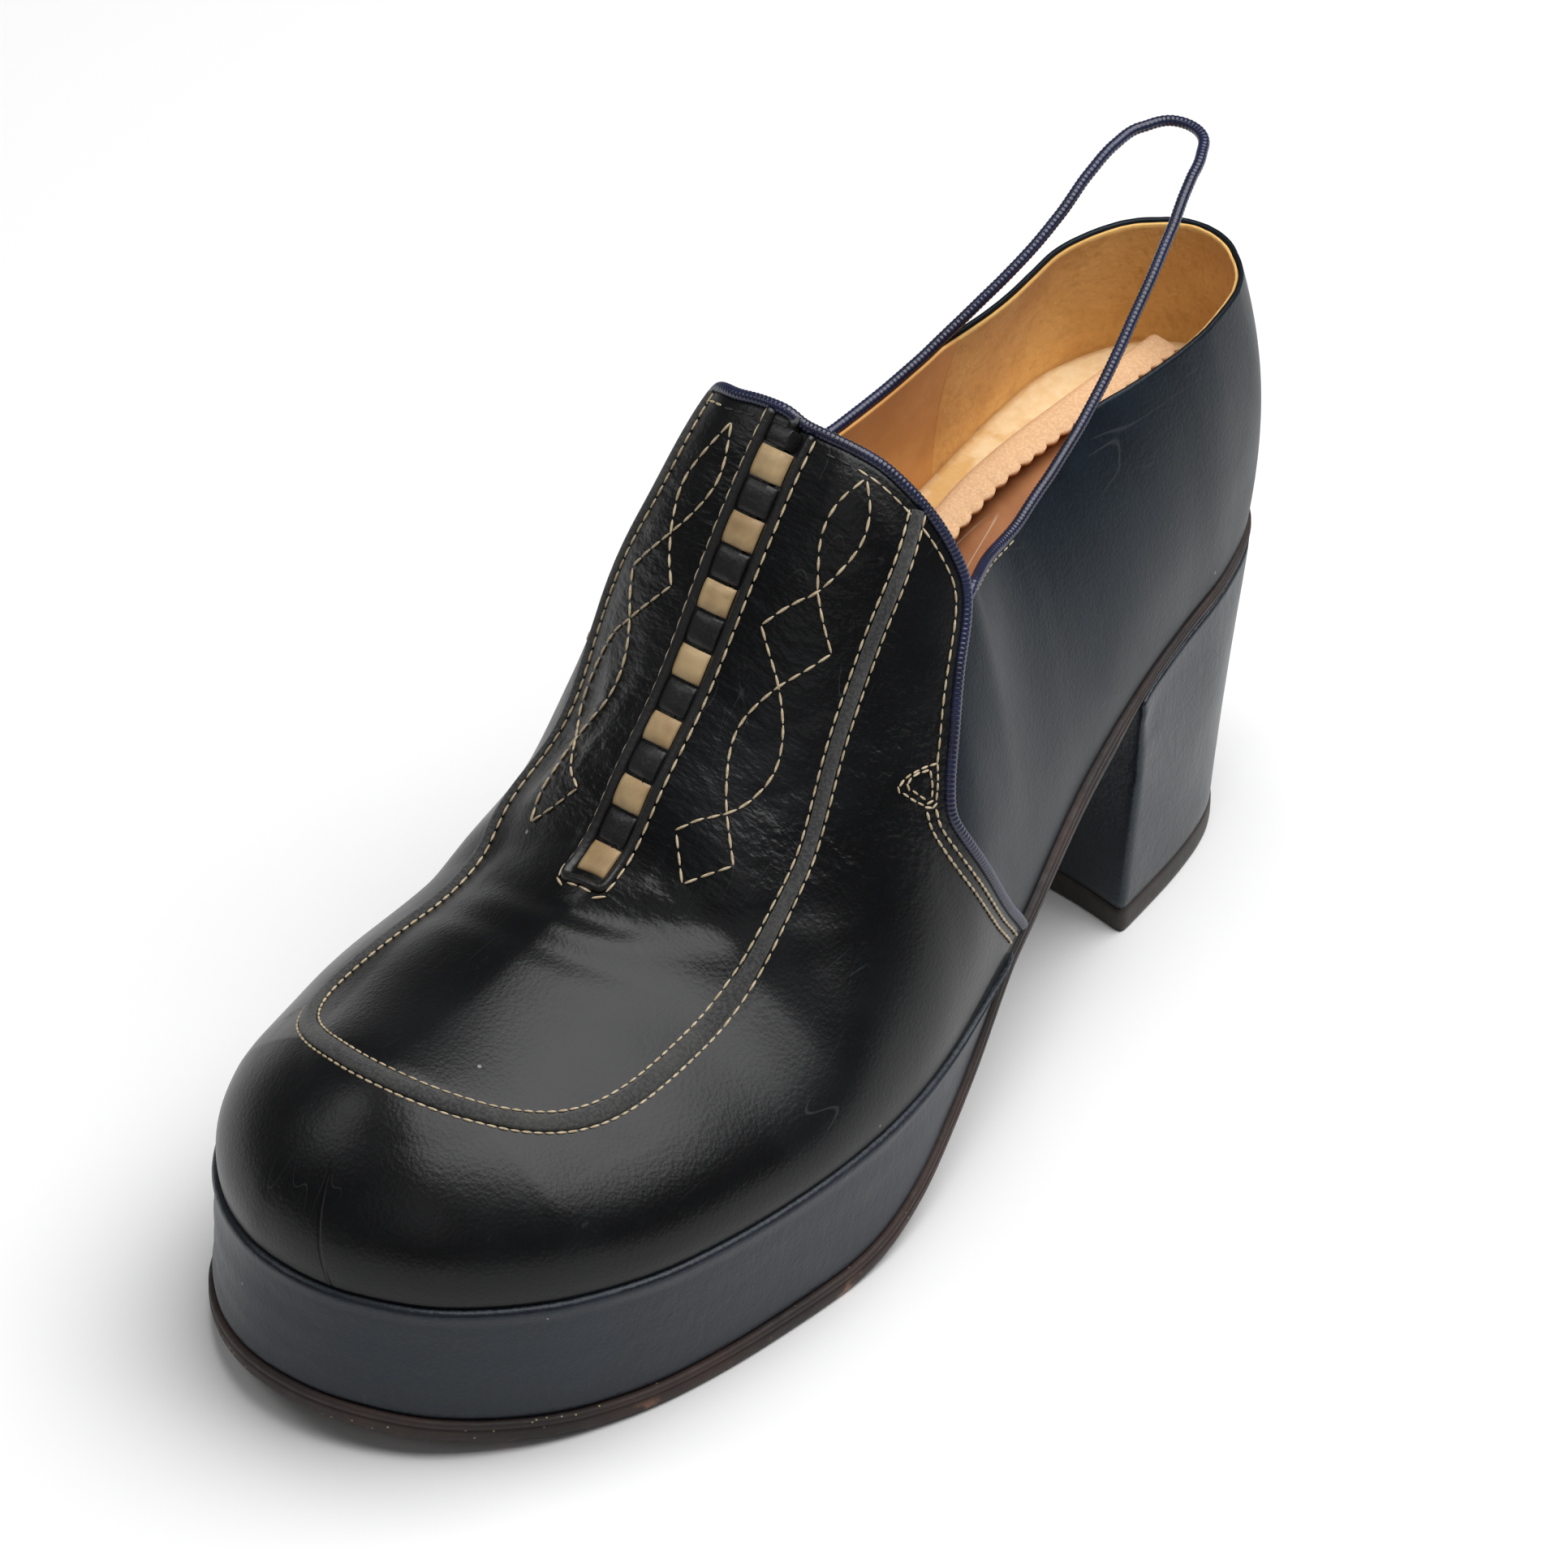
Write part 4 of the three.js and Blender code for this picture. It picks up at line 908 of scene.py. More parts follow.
def stitch_tree():
    """Geometry Nodes: one stitch at every point of each path, along the path."""
    tree = bpy.data.node_groups.new("stitch_row", "GeometryNodeTree")
    for name, kind in (("Paths", "NodeSocketGeometry"), ("Length", "NodeSocketFloat"),
                       ("Radius", "NodeSocketFloat"), ("Thread", "NodeSocketMaterial")):
        tree.interface.new_socket(name, in_out="INPUT", socket_type=kind)
    tree.interface.new_socket("Stitches", in_out="OUTPUT", socket_type="NodeSocketGeometry")
    add, link = tree.nodes.new, tree.links.new
    given, result = add("NodeGroupInput"), add("NodeGroupOutput")
    curve = add("GeometryNodeMeshToCurve")
    link(given.outputs["Paths"], curve.inputs[0])
    steps = add("GeometryNodeCurveToPoints")
    steps.mode = "EVALUATED"
    link(curve.outputs[0], steps.inputs["Curve"])
    bead = add("GeometryNodeMeshUVSphere")
    bead.inputs["Segments"].default_value = 8
    bead.inputs["Rings"].default_value = 6
    bead.inputs["Radius"].default_value = 1.0
    half_length = add("ShaderNodeMath")
    half_length.operation = "MULTIPLY"
    link(given.outputs["Length"], half_length.inputs[0])
    half_length.inputs[1].default_value = 0.5
    size = add("ShaderNodeCombineXYZ")
    link(given.outputs["Radius"], size.inputs[0])
    link(given.outputs["Radius"], size.inputs[1])
    link(half_length.outputs[0], size.inputs[2])
    shaped = add("GeometryNodeTransform")
    link(bead.outputs["Mesh"], shaped.inputs["Geometry"])
    link(size.outputs[0], shaped.inputs["Scale"])
    vary = add("FunctionNodeRandomValue")
    vary.data_type = "FLOAT"
    vary.inputs[2].default_value = 0.90
    vary.inputs[3].default_value = 1.06
    vary.inputs["Seed"].default_value = 7
    place = add("GeometryNodeInstanceOnPoints")
    link(steps.outputs["Points"], place.inputs["Points"])
    link(shaped.outputs[0], place.inputs["Instance"])
    link(steps.outputs["Rotation"], place.inputs["Rotation"])
    link(vary.outputs[1], place.inputs["Scale"])
    real = add("GeometryNodeRealizeInstances")
    link(place.outputs[0], real.inputs[0])
    smooth_faces = add("GeometryNodeSetShadeSmooth")
    link(real.outputs[0], smooth_faces.inputs[0])
    dye = add("GeometryNodeSetMaterial")
    link(smooth_faces.outputs[0], dye.inputs["Geometry"])
    link(given.outputs["Thread"], dye.inputs["Material"])
    link(dye.outputs[0], result.inputs[0])
    return tree


stitches = stitch_tree()


def sew(name, paths, thread, length=STITCH, gap=STITCH_GAP, radius=THREAD):
    """Sews stitches along paths that already lie on the leather, from end to end."""
    points, edges = [], []
    for path in paths:
        path = np.asarray(path, float)
        run = np.concatenate([[0], np.cumsum(np.linalg.norm(np.diff(path, axis=0), axis=1))])
        count = max(int(round(run[-1] / (length + gap))), 2)
        middles = (np.arange(count) + 0.5) / count * run[-1]
        first = len(points)
        placed = np.stack([np.interp(middles, run, path[:, k]) for k in range(3)], axis=-1)
        points.extend(to_frame(placed).tolist())
        edges += [(k, k + 1) for k in range(first, len(points) - 1)]
    mesh = bpy.data.meshes.new(name)
    mesh.from_pydata(points, edges, [])
    piece = bpy.data.objects.new(name, mesh)
    bpy.context.collection.objects.link(piece)
    row = piece.modifiers.new("stitches", "NODES")
    row.node_group = stitches
    items = stitches.interface.items_tree
    sockets = {item.name: item.identifier for item in items if item.item_type == "SOCKET"}
    row[sockets["Length"]] = length / 1000
    row[sockets["Radius"]] = radius / 1000
    row[sockets["Thread"]] = thread
    apply_modifiers(piece)
    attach(piece, "root")
    return piece


def beside(path, across, height):
    """The same path moved sideways on the leather, by a distance that may vary along it."""
    laid = settle(path)
    side = side_vectors(laid, surface_normals(laid))
    return settle(laid + side * np.reshape(across, (-1, 1)), height)


toe_part = np.flatnonzero(seam[:, 1] < -60)
toe_start, toe_stop = int(toe_part[0]), int(toe_part[-1])
side_rows, toe_rows = [], []
for sign, margin in ((-1, 0.52), (1, 0.52)):
    row = smoothed(beside(seam, sign * (half * band_width + margin), 0.12), 3)
    side_rows += [row[: toe_start + 1], row[toe_stop:]]
    toe_rows.append(row[toe_start : toe_stop + 1])
sew("apron_stitches", side_rows, cream_thread.material, length=2.65, gap=0.3, radius=0.27)
sew("toe_stitches", toe_rows, cream_thread.material, length=2.0, gap=0.3, radius=0.27)

# Chequered strip and its slot
# A cream strip woven in and out of black leather bars down the middle of the flap, in a slot with
# folded black edges, each sewn with cream thread.

STRIP_X = -1.6
CHECKS = 7
STRIP_TOP = 5.0
STRIP_WIDTH = 7.0

strip_leather = Finish("cream_strip")
soil = strip_leather.noise(120.0, detail=4.0)
strip_colour = strip_leather.mix(soil.between(0.35, 0.75), (0.45, 0.32, 0.165), (0.27, 0.17, 0.075))
strip_leather.finish(strip_colour, 0.55, strip_leather.bump(soil, 0.0002), Coat_Weight=0.1)
black_leather = polished(smooth_leather(
    "black_leather", (0.0022, 0.0022, 0.0025), (0.0050, 0.0050, 0.0056), gloss=0.42, grain=0.6, dusty=0.003))

strip_line = drop([(STRIP_X, y) for y in np.linspace(STRIP_START + 0.6, STRIP_TOP, 160)])
strip_line = even_path(strip_line, 0.5)
total = np.sum(np.linalg.norm(np.diff(strip_line, axis=0), axis=1))
check = total / (2 * CHECKS - 0.35)


def block(start, end, rise):
    """One visible piece of the woven strip, humped between the places where it dives under."""
    steps = np.linspace(0, total, len(strip_line))
    inside = (steps >= start) & (steps <= end)
    line = strip_line[inside]
    u = np.linspace(-1, 1, len(line))
    along = rise * (1 - 0.85 * np.abs(u) ** 3.5) - 0.15
    across = np.linspace(-1, 1, 11)
    rows = []
    for s in across:
        base = line + np.array([s * STRIP_WIDTH / 2, 0, 0])
        base = settle(base)
        height = along * (1 - 0.35 * abs(s) ** 4)
        rows.append(base + surface_normals(base) * height[:, None])
    return np.stack(rows)


def blocks_piece(name, spans, material, rise):
    points, faces = [], []
    for start, end in spans:
        grid = block(start, end, rise)
        below = grid - surface_normals(grid.reshape(-1, 3)).reshape(grid.shape) * (rise + 0.3)
        rows, columns = grid.shape[:2]
        count = rows * columns
        first = sum(len(p) for p in points)
        points += [grid.reshape(-1, 3), below.reshape(-1, 3)]
        faces += [[q + first for q in f] for f in grid_faces(rows, columns)]
        faces += [[q + first + count for q in f][::-1] for f in grid_faces(rows, columns)]
        rim = list(range(columns)) + [i * columns + columns - 1 for i in range(1, rows)]
        rim += [(rows - 1) * columns + j for j in range(columns - 2, -1, -1)]
        rim += [i * columns for i in range(rows - 2, 0, -1)]
        pairs = zip(rim, rim[1:] + rim[:1])
        faces += [[b + first, a + first, a + first + count, b + first + count] for a, b in pairs]
    piece = make_mesh(name, np.concatenate(points), faces, material)
    clean(piece)
    return piece


cream_spans = [(2 * k * check, (2 * k + 1) * check) for k in range(CHECKS)]
black_spans = [((2 * k + 1) * check, min((2 * k + 2) * check, total)) for k in range(CHECKS)]
cream_strip = blocks_piece("cream_strip", cream_spans, strip_leather.material, 0.85)
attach(cream_strip, "root")
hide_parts("throat_strip")
black_bars = blocks_piece("black_bars", black_spans, black_leather, 0.75)
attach(black_bars, "root")
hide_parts("throat_strip")

SLOT_HALF = STRIP_WIDTH / 2 + 0.15
WELT_WIDTH = 2.1


def slot_path(half_width, top=6.5):
    """Down one side of the slot, across its foot and up the other side."""
    low = STRIP_START - 0.4 - (half_width - SLOT_HALF)
    corner = 1.2
    plan = [(STRIP_X - half_width, y) for y in np.linspace(top, low + corner, 60)]
    plan += [(STRIP_X - half_width + corner * 0.3, low + corner * 0.3)]
    plan += [(x, low) for x in np.linspace(STRIP_X - half_width + corner, STRIP_X + half_width - corner, 8)]
    plan += [(STRIP_X + half_width - corner * 0.3, low + corner * 0.3)]
    plan += [(STRIP_X + half_width, y) for y in np.linspace(low + corner, top, 60)]
    return even_path(drop(plan), 0.8)


welt_line = slot_path(SLOT_HALF + WELT_WIDTH / 2)
w = WELT_WIDTH / 2
welt_section = [
    (-w, -0.4), (-w, 0.5), (-w + 0.3, 1.0), (-w + 0.8, 1.3), (0.2, 1.1), (w - 0.3, 0.55), (w, 0.1),
    (w, -0.4),
]
slot_edges = band("slot_edges", welt_line, [(-a, h) for a, h in welt_section][::-1], black_leather)
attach(slot_edges, "root")
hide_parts("slot_welts")
sew("slot_stitches", [settle(slot_path(SLOT_HALF + WELT_WIDTH + 0.2), 0.25)], cream_thread.material)

# Flap stitching
# A mirrored traditional figure in single rows: two leaf shapes, crossings and a diamond.

OUTER_FIGURE = [  # rows in x and y, seen from above
    [(15.9, -7.4), (13.8, -4.4), (12.9, -2.2), (13.1, 0.7), (14.1, 3.7), (15.8, 7.4)],
    [(15.8, 7.4), (18.3, 5.4), (19.6, 3.0), (19.7, 0.4), (18.5, -2.9), (15.9, -7.4), (12.3, -11.5),
     (8.8, -15.7)],
    [(8.8, -15.7), (11.8, -17.2), (15.5, -18.9), (18.5, -21.2), (20.2, -23.6), (20.9, -26.8), (19.8, -31.0),
     (17.2, -36.0), (11.3, -41.9), (10.4, -43.4)],
    [(10.4, -43.4), (15.5, -47.9)],
    [(15.5, -47.9), (22.5, -41.0)],
    [(22.5, -41.0), (16.9, -36.2), (13.4, -31.6), (12.1, -28.5), (12.2, -25.5), (13.6, -22.4), (16.0, -18.8),
     (19.3, -14.7), (22.0, -10.7)],
    [(22.0, -10.7), (18.7, -9.2), (15.9, -7.4)],
]
INNER_FIGURE = [
    [(-13.7, 3.1), (-15.4, 0.9), (-17.5, -1.7), (-18.9, -3.7), (-19.4, -5.7), (-18.4, -8.8), (-17.3, -11.0),
     (-15.1, -14.2), (-12.5, -16.7)],
    [(-13.7, 3.1), (-12.5, 0.7), (-11.4, -1.9), (-11.1, -4.0), (-11.8, -6.1), (-13.6, -8.4), (-16.0, -10.3),
     (-19.6, -12.0), (-24.9, -13.4)],
    [(-24.9, -13.4), (-23.4, -16.1), (-21.1, -19.1)],
    [(-12.5, -16.7), (-16.3, -18.1), (-21.1, -19.1), (-24.6, -19.4), (-26.9, -20.4), (-28.2, -22.2),
     (-28.5, -24.2), (-27.7, -27.0), (-25.6, -29.9), (-23.6, -33.0), (-21.3, -36.9), (-18.8, -39.8),
     (-15.2, -42.2)],
    [(-21.1, -19.1), (-19.4, -21.9), (-18.7, -24.2), (-18.9, -26.4), (-20.0, -28.6), (-22.2, -31.0),
     (-24.0, -33.8), (-25.0, -37.5), (-25.7, -41.5), (-24.6, -45.6)],
    [(-15.2, -42.2), (-19.5, -44.0), (-24.6, -45.6)],
]
figure_rows = []
for row in OUTER_FIGURE + INNER_FIGURE:
    plan = rounded(row, 60, closed=False) if len(row) > 2 else np.linspace(row[0], row[1], 12)
    figure_rows.append(even_path(drop(plan, 0.2), 0.8))
sew("figure_stitches", figure_rows, cream_thread.material)

# Piping
# Glossy navy cords, wound with fine ribs, along the collar, the flap's edge and the vamp's rear edges.

CORD = 1.15
RIB = 0.95

cord_leather = Finish("piping_leather")
# Lighter blue patches in the cords' colour are painted sheen, not a change of dye.
painted_sheen = cord_leather.noise(70.0, detail=2.0)
cord_colour = cord_leather.mix(painted_sheen.between(0.3, 0.7), (0.0030, 0.0050, 0.0210), (0.0070, 0.0110, 0.0480))
cord_leather.finish(cord_colour, 0.32, cord_leather.bump(cord_leather.noise(800.0), 0.00008),
                    Coat_Weight=0.25, Coat_Roughness=0.2)


def cord(name, path, radius, material, flat=1.0, sides=12):
    """Ribbed cord along a path, with rounded ends."""
    path = even_path(smoothed(even_path(path, 0.6), 4), RIB / 4)
    ahead = np.gradient(path, axis=0)
    ahead /= np.linalg.norm(ahead, axis=1, keepdims=True)
    frame_x = np.zeros_like(path)
    up = np.array([0.0, 0.0, 1.0])
    for k, direction in enumerate(ahead):
        up = up - direction * (up @ direction)
        up /= np.linalg.norm(up)
        frame_x[k] = up
    frame_y = np.cross(ahead, frame_x)
    n = len(path)
    rib = 1 + 0.055 * np.cos(np.arange(n) / 4 * 2 * math.pi)
    end = np.minimum(np.arange(n), np.arange(n)[::-1]) * RIB / 4
    rib = rib * np.sqrt(np.clip(1 - (1 - np.clip(end / radius, 0, 1)) ** 2, 0.02, 1))
    angles = np.linspace(0, 2 * math.pi, sides, endpoint=False)
    along_x = np.cos(angles)[None, :, None] * frame_x[:, None]
    along_y = flat * np.sin(angles)[None, :, None] * frame_y[:, None]
    rings = path[:, None] + radius * rib[:, None, None] * (along_x + along_y)
    faces = grid_faces(n, sides, closed=True)
    faces += [list(range(sides))[::-1], [(n - 1) * sides + k for k in range(sides)]]
    piece = make_mesh(name, rings.reshape(-1, 3), faces, material)
    clean(piece)
    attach(piece, "root")
    return piece


edge_grid = quarter_grid(15.5, 120, lambda y: collar_z(y) - 0.2, QUARTER_OUT + 0.05)
collar_cord = cord("collar_cord", edge_grid[-1], CORD, cord_leather.material)
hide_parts("collar_piping")
under_cord = []
for column in edge_grid.transpose(1, 0, 2):
    down = np.concatenate([[0], np.cumsum(np.linalg.norm(np.diff(column[::-1], axis=0), axis=1))])
    under_cord.append([np.interp(1.5, down, column[::-1][:, k]) for k in range(3)])
collar_row = np.array(under_cord) + grid_normals(edge_grid)[-1] * 0.15
front = (collar_row[:, 1] < 44) & (collar_row[:, 1] > 19)
collar_sides = [collar_row[front & (collar_row[:, 0] > 0)], collar_row[front & (collar_row[:, 0] < 0)]]
sew("collar_stitches", collar_sides, cream_thread.material, length=2.2, gap=0.5, radius=0.22)


# Binding of the vamp
# One strip of the same navy leather folded over a cord, sewn on along the vamp's free edge: from the
# wing end on the outer side, up over the flap, and down to the wing end on the inner side.

WING_END = 40.0     # height of the wing's rounded end above the floor
BINDING = 1.25


def free_edge(side):
    """The vamp's edge on one side, from the wing end up to the flap's middle."""
    line = vamp_grid[:, 0 if side < 0 else -1]
    return line[line[:, 2] > WING_END]


def on_side(side, inset, heights):
    """Points at a distance in front of the vamp's rear edge, at given heights."""
    heights = np.asarray(heights, float)
    rear_y = np.interp(heights, vamp_rear[:, 1], vamp_rear[:, 0]) - np.asarray(inset, float)
    foot = foot_at(side, rear_y)
    found = []
    for point, z in zip(foot, heights):
        v = rib_up_to(point[None], lambda y: np.full_like(y, z), 1500)
        found.append(last(point[None], v)[0])
    return np.array(found)


edge_ring = np.concatenate([free_edge(1), free_edge(-1)[::-1][1:]])
edge_ring = smoothed(even_path(edge_ring, 1.0), 3)
ahead = np.gradient(edge_ring, axis=0)
ahead /= np.linalg.norm(ahead, axis=1, keepdims=True)
edge_normals = surface_normals(edge_ring)
away = np.cross(ahead, edge_normals)
away *= np.where(away[len(away) // 2, 1] < 0, -1, 1)
binding = cord(
    "vamp_binding", edge_ring + away * 0.2 - edge_normals * 0.3, BINDING, cord_leather.material, flat=1.0)
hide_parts("flap_piping", "wing_piping_outer", "wing_piping_inner")

edge_row = settle(smoothed(even_path(settle(edge_ring - away * 3.1), 0.8), 5), 0.15)
above = edge_row[:, 2] > 93.6
outer_row = edge_row[above & (edge_row[:, 0] > 13.5)]
inner_row = edge_row[above & (edge_row[:, 0] < -17.5)]
sew("edge_stitches", [outer_row, inner_row], cream_thread.material, length=2.5, gap=0.4,
    radius=0.25)
dark_thread = Finish("dark_thread")
twist = dark_thread.noise(900.0).between(0.3, 0.7)
dark_thread.finish(dark_thread.mix(twist, (0.006, 0.006, 0.008), (0.02, 0.02, 0.024)), 0.5)
dark_rows = [edge_row[(edge_row[:, 0] > a) & (edge_row[:, 0] < b)] for a, b in ((6.0, 13.5), (-17.5, -9.2))]
sew("edge_stitches_dark", dark_rows, dark_thread.material, length=2.3, gap=0.4, radius=0.25)

# Below, two rows run to the wing's end from a small three-cornered tack, which is sewn round twice.
TACK = [(2.9, 94.2), (5.4, 94.0), (8.2, 93.4), (10.6, 91.7), (7.8, 89.1), (4.9, 86.9), (3.4, 86.2),
        (2.8, 88.4), (2.6, 90.8), (2.9, 94.2)]
TACK_INSIDE = [(4.3, 93.4), (6.9, 93.2), (9.0, 91.9), (6.1, 89.2), (4.0, 87.4), (3.7, 89.2), (3.8, 91.4),
               (4.3, 93.4)]
wing_rows, tack_rows = [], []
for side in (1, -1):
    heights = np.linspace(86.2, WING_END + 1.5, 60)
    lower = smooth(86, 70, heights)
    for near, far in ((3.0, 3.5), (4.9, 6.1)):
        row = on_side(side, near + (far - near) * lower, heights)
        wing_rows.append(settle(smoothed(even_path(row, 1.0), 3), 0.28))
    for outline in (TACK, TACK_INSIDE):
        inset, z = np.array(outline).T
        corners = on_side(side, inset, z)
        tack_rows.append(settle(even_path(corners, 0.5), 0.2))
sew("wing_stitches", wing_rows, cream_thread.material, length=1.9, gap=0.25, radius=0.30)
sew("tack_stitches", tack_rows, cream_thread.material, length=1.6, gap=0.25, radius=0.25)

# Insole and sock
# Cream board under the foot, stained by glue, with a tan sock over the outer part of the heel. The
# sock's pinked inner edge has come loose and rolls over.

INSOLE = 2.5
WALL = 2.6
BOARD_INSET = 3.2
SEAT_PAD = 24
PAD_START = -0.050
PAD_FULL = 0.270

board = Finish("insole_board")
fleck = board.noise(420.0, detail=4.0)
specks = dull_spots(board, 420.0, 0.05)
glue = board.noise(60.0, detail=4.0, shift=(0.2, 0.1, 0.4))
board_colour = board.mix(fleck.between(0.35, 0.7), (0.88, 0.66, 0.36), (0.94, 0.76, 0.48))
board_colour = board.mix(glue.between(0.50, 0.60) * 0.75, board_colour, (0.74, 0.44, 0.13))
board_colour = board.mix(specks, board_colour, (0.22, 0.10, 0.03))
board.finish(board_colour, 0.75, board.bump(fleck, 0.00015, after=board.bump(glue, 0.0006)))

tan = Finish("sock_leather")
wear = tan.noise(45.0, detail=4.0)
rub = hairlines(tan, 120.0, (0.2, 0.1, 1.2), width=0.01)
tan_colour = tan.mix(wear.between(0.3, 0.7), (0.30, 0.105, 0.032), (0.46, 0.20, 0.075))
tan_colour = tan.mix(rub * 0.6, tan_colour, (0.62, 0.50, 0.34))
tan.finish(tan_colour, 0.5 + wear * 0.2, tan.bump(tan.noise(500.0), 0.0001))

flesh = Finish("sock_flesh_side")
felt = flesh.noise(1500.0, detail=3.0)
flesh_colour = flesh.mix(felt.between(0.35, 0.7), (0.70, 0.44, 0.24), (0.80, 0.54, 0.32))
flesh.finish(flesh_colour, 0.9, flesh.bump(felt, 0.0002))


def on_height(ring, height):
    return np.concatenate([ring, np.reshape(height, (-1, 1)) * np.ones((len(ring), 1))], axis=-1)


def board_top(x, y):
    return feather_z(x, y) + INSOLE + SEAT_PAD * smooth(PAD_START, PAD_FULL, y / LENGTH)


def seat_outline(count, inset):
    """Ring inside the upper's wall at the height of the board's top."""
    foot = rounded(FEATHER, count)
    v = np.linspace(0, 0.6, 240)
    ribs = last(np.repeat(foot[:, None], len(v), axis=1), np.repeat(v[None], count, axis=0))
    over = ribs[..., 2] >= board_top(ribs[..., 0], ribs[..., 1])
    at = np.maximum(over.argmax(axis=1), 1)
    ring = ribs[np.arange(count), at, :2]
    ahead = np.roll(ring, -1, axis=0) - np.roll(ring, 1, axis=0)
    ahead /= np.linalg.norm(ahead, axis=1, keepdims=True)
    outward = np.stack([ahead[:, 1], -ahead[:, 0]], axis=-1)
    outward *= np.sign(np.sum(outward * ring))
    return ring - outward * (WALL + inset)


def inset_outline(count, inset, forward=0.0, inward=0.0):
    """Ring of the lower edge, moved inwards, and forward and inward under the front."""
    ring = rounded(FEATHER, count)
    ahead = np.roll(ring, -1, axis=0) - np.roll(ring, 1, axis=0)
    ahead /= np.linalg.norm(ahead, axis=1, keepdims=True)
    outward = np.stack([ahead[:, 1], -ahead[:, 0]], axis=-1)
    if np.sum(outward * ring) < 0:
        outward = -outward
    inset = inset(ring[:, 1]) if callable(inset) else inset
    moved = ring - outward * np.reshape(inset, (-1, 1))
    front = 1 - smooth(-0.24, -0.1, ring[:, 1] / LENGTH)
    return moved - np.stack([inward * front, forward * front], axis=-1)


def rings_piece(name, rings, material):
    """Closed piece through rings of equal count, with both ends filled by shrinking rings."""
    def fill(ring):
        out = []
        for share in (0.9, 0.7, 0.4, 0.1):
            y = np.clip(ring[:, 1], FAN_TOE * LENGTH, FAN_HEEL * LENGTH)
            out.append(np.stack([ring[:, 0] * share, y + (ring[:, 1] - y) * share, ring[:, 2]], axis=-1))
        return out
    stack = np.stack([*fill(rings[0])[::-1], *rings, *fill(rings[-1])])
    faces = grid_faces(len(stack), stack.shape[1], closed=True)
    n = stack.shape[1]
    faces += [list(range(n))[::-1], [(len(stack) - 1) * n + k for k in range(n)]]
    piece = make_mesh(name, stack.reshape(-1, 3), faces, material)
    clean(piece)
    return piece


def foot_sheet(name, lower, upper, low, high, material):
    """Board under the foot that follows the seat, the waist and the toe between two outlines."""
    def inwards(ring, share, height):
        y = np.clip(ring[:, 1], FAN_TOE * LENGTH, FAN_HEEL * LENGTH)
        q = np.stack([ring[:, 0] * share, y + (ring[:, 1] - y) * share], axis=-1)
        return on_height(q, height(q[:, 0], q[:, 1]))
    shares = [0.05, 0.35, 0.6, 0.8, 0.93, 1]
    below = [inwards(lower, k, low) for k in shares]
    grid = np.stack([*below, *(inwards(upper, k, high) for k in shares[::-1])])
    n = grid.shape[1]
    faces = grid_faces(len(grid), n, closed=True)
    faces += [list(range(n))[::-1], [(len(grid) - 1) * n + k for k in range(n)]]
    piece = make_mesh(name, grid.reshape(-1, 3), faces, material)
    clean(piece)
    return piece


insole = foot_sheet("insole_board", inset_outline(300, BOARD_INSET), seat_outline(300, 0.35),
                    lambda x, y: feather_z(x, y) + 0.05, board_top, board.material)
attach(insole, "root")
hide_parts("insole")

SOCK = 1.0
SOCK_START = 0.150 * LENGTH
SOCK_FOLD = -0.118 * BALL_WIDTH
SOCK_CURL = 2.2
SOCK_FLAP = 5.6
SCALLOP = 3.9


def sock_rows():
    """Rows across the heel: out along the board to the wall, and over the roll to the pinked edge."""
    ring = seat_outline(720, 2.2)
    sides = ring[(ring[:, 0] > -2)]
    sides = sides[np.argsort(sides[:, 1])]
    rows = []
    for y in np.linspace(SOCK_START, 133.5, 150):
        wall = np.interp(y, sides[:, 1], sides[:, 0])
        fold = SOCK_FOLD + 1.2 * math.sin(y / 17) + 0.3 * (y - 90) / 10
        rise = smooth(SOCK_START - 2, SOCK_START + 18, y) * (1 - 0.5 * smooth(118, 134, y))
        curl = SOCK_CURL * (0.85 + 0.5 * rise)
        flat_x = np.linspace(wall, fold + curl, 30)
        turn = np.linspace(0, math.pi, 16)[1:]
        over_x = fold + curl - curl * np.sin(turn)
        over_z = curl - curl * np.cos(turn)
        tooth = abs(math.sin(math.pi * y / SCALLOP)) ** 0.6
        reach = SOCK_FLAP - 1.3 + 1.3 * tooth
        tail = np.linspace(0, 1, 12)[1:]
        tail_x = fold + curl + tail * reach
        tail_z = 2 * curl - 0.9 * tail**2 + 0.15 * math.sin(y / 3.1)
        x = np.concatenate([flat_x, over_x, tail_x])
        lift = np.concatenate([np.zeros(30), over_z, tail_z])
        rows.append(np.stack([x, np.full_like(x, y), board_top(x, y) + 0.3 + SOCK / 2 + lift], axis=-1))
    return np.stack(rows)


sock_mid = sock_rows()
sock_normal = grid_normals(sock_mid)
sock_normal *= np.sign(sock_normal[75, 5, 2])
sock_face = sock_mid + sock_normal * SOCK / 2
sock_back = sock_mid - sock_normal * SOCK / 2
sock_count = sock_mid.shape[0] * sock_mid.shape[1]
sock_faces = grid_faces(*sock_mid.shape[:2])
face_total = len(sock_faces)
sock_faces += [f[::-1] for f in grid_faces(*sock_mid.shape[:2], start=sock_count)]
r_, c_ = sock_mid.shape[:2]
rim = list(range(c_)) + [i * c_ + c_ - 1 for i in range(1, r_)]
rim += [(r_ - 1) * c_ + j for j in range(c_ - 2, -1, -1)] + [i * c_ for i in range(r_ - 2, 0, -1)]
sock_faces += [[b, a, a + sock_count, b + sock_count] for a, b in zip(rim, rim[1:] + rim[:1])]
sock_points = np.concatenate([sock_face.reshape(-1, 3), sock_back.reshape(-1, 3)])
sock = make_mesh("sock", sock_points, sock_faces, tan.material)
sock.data.materials.append(flesh.material)
for k, face in enumerate(sock.data.polygons):
    face.material_index = 0 if k < face_total else 1
clean(sock)
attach(sock, "root")
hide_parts("sock_lining")

# Platform
# Navy leather wrapped round a thick wedge, with a rolled upper lip, and wrinkles where the leather
# was pulled in at the front.

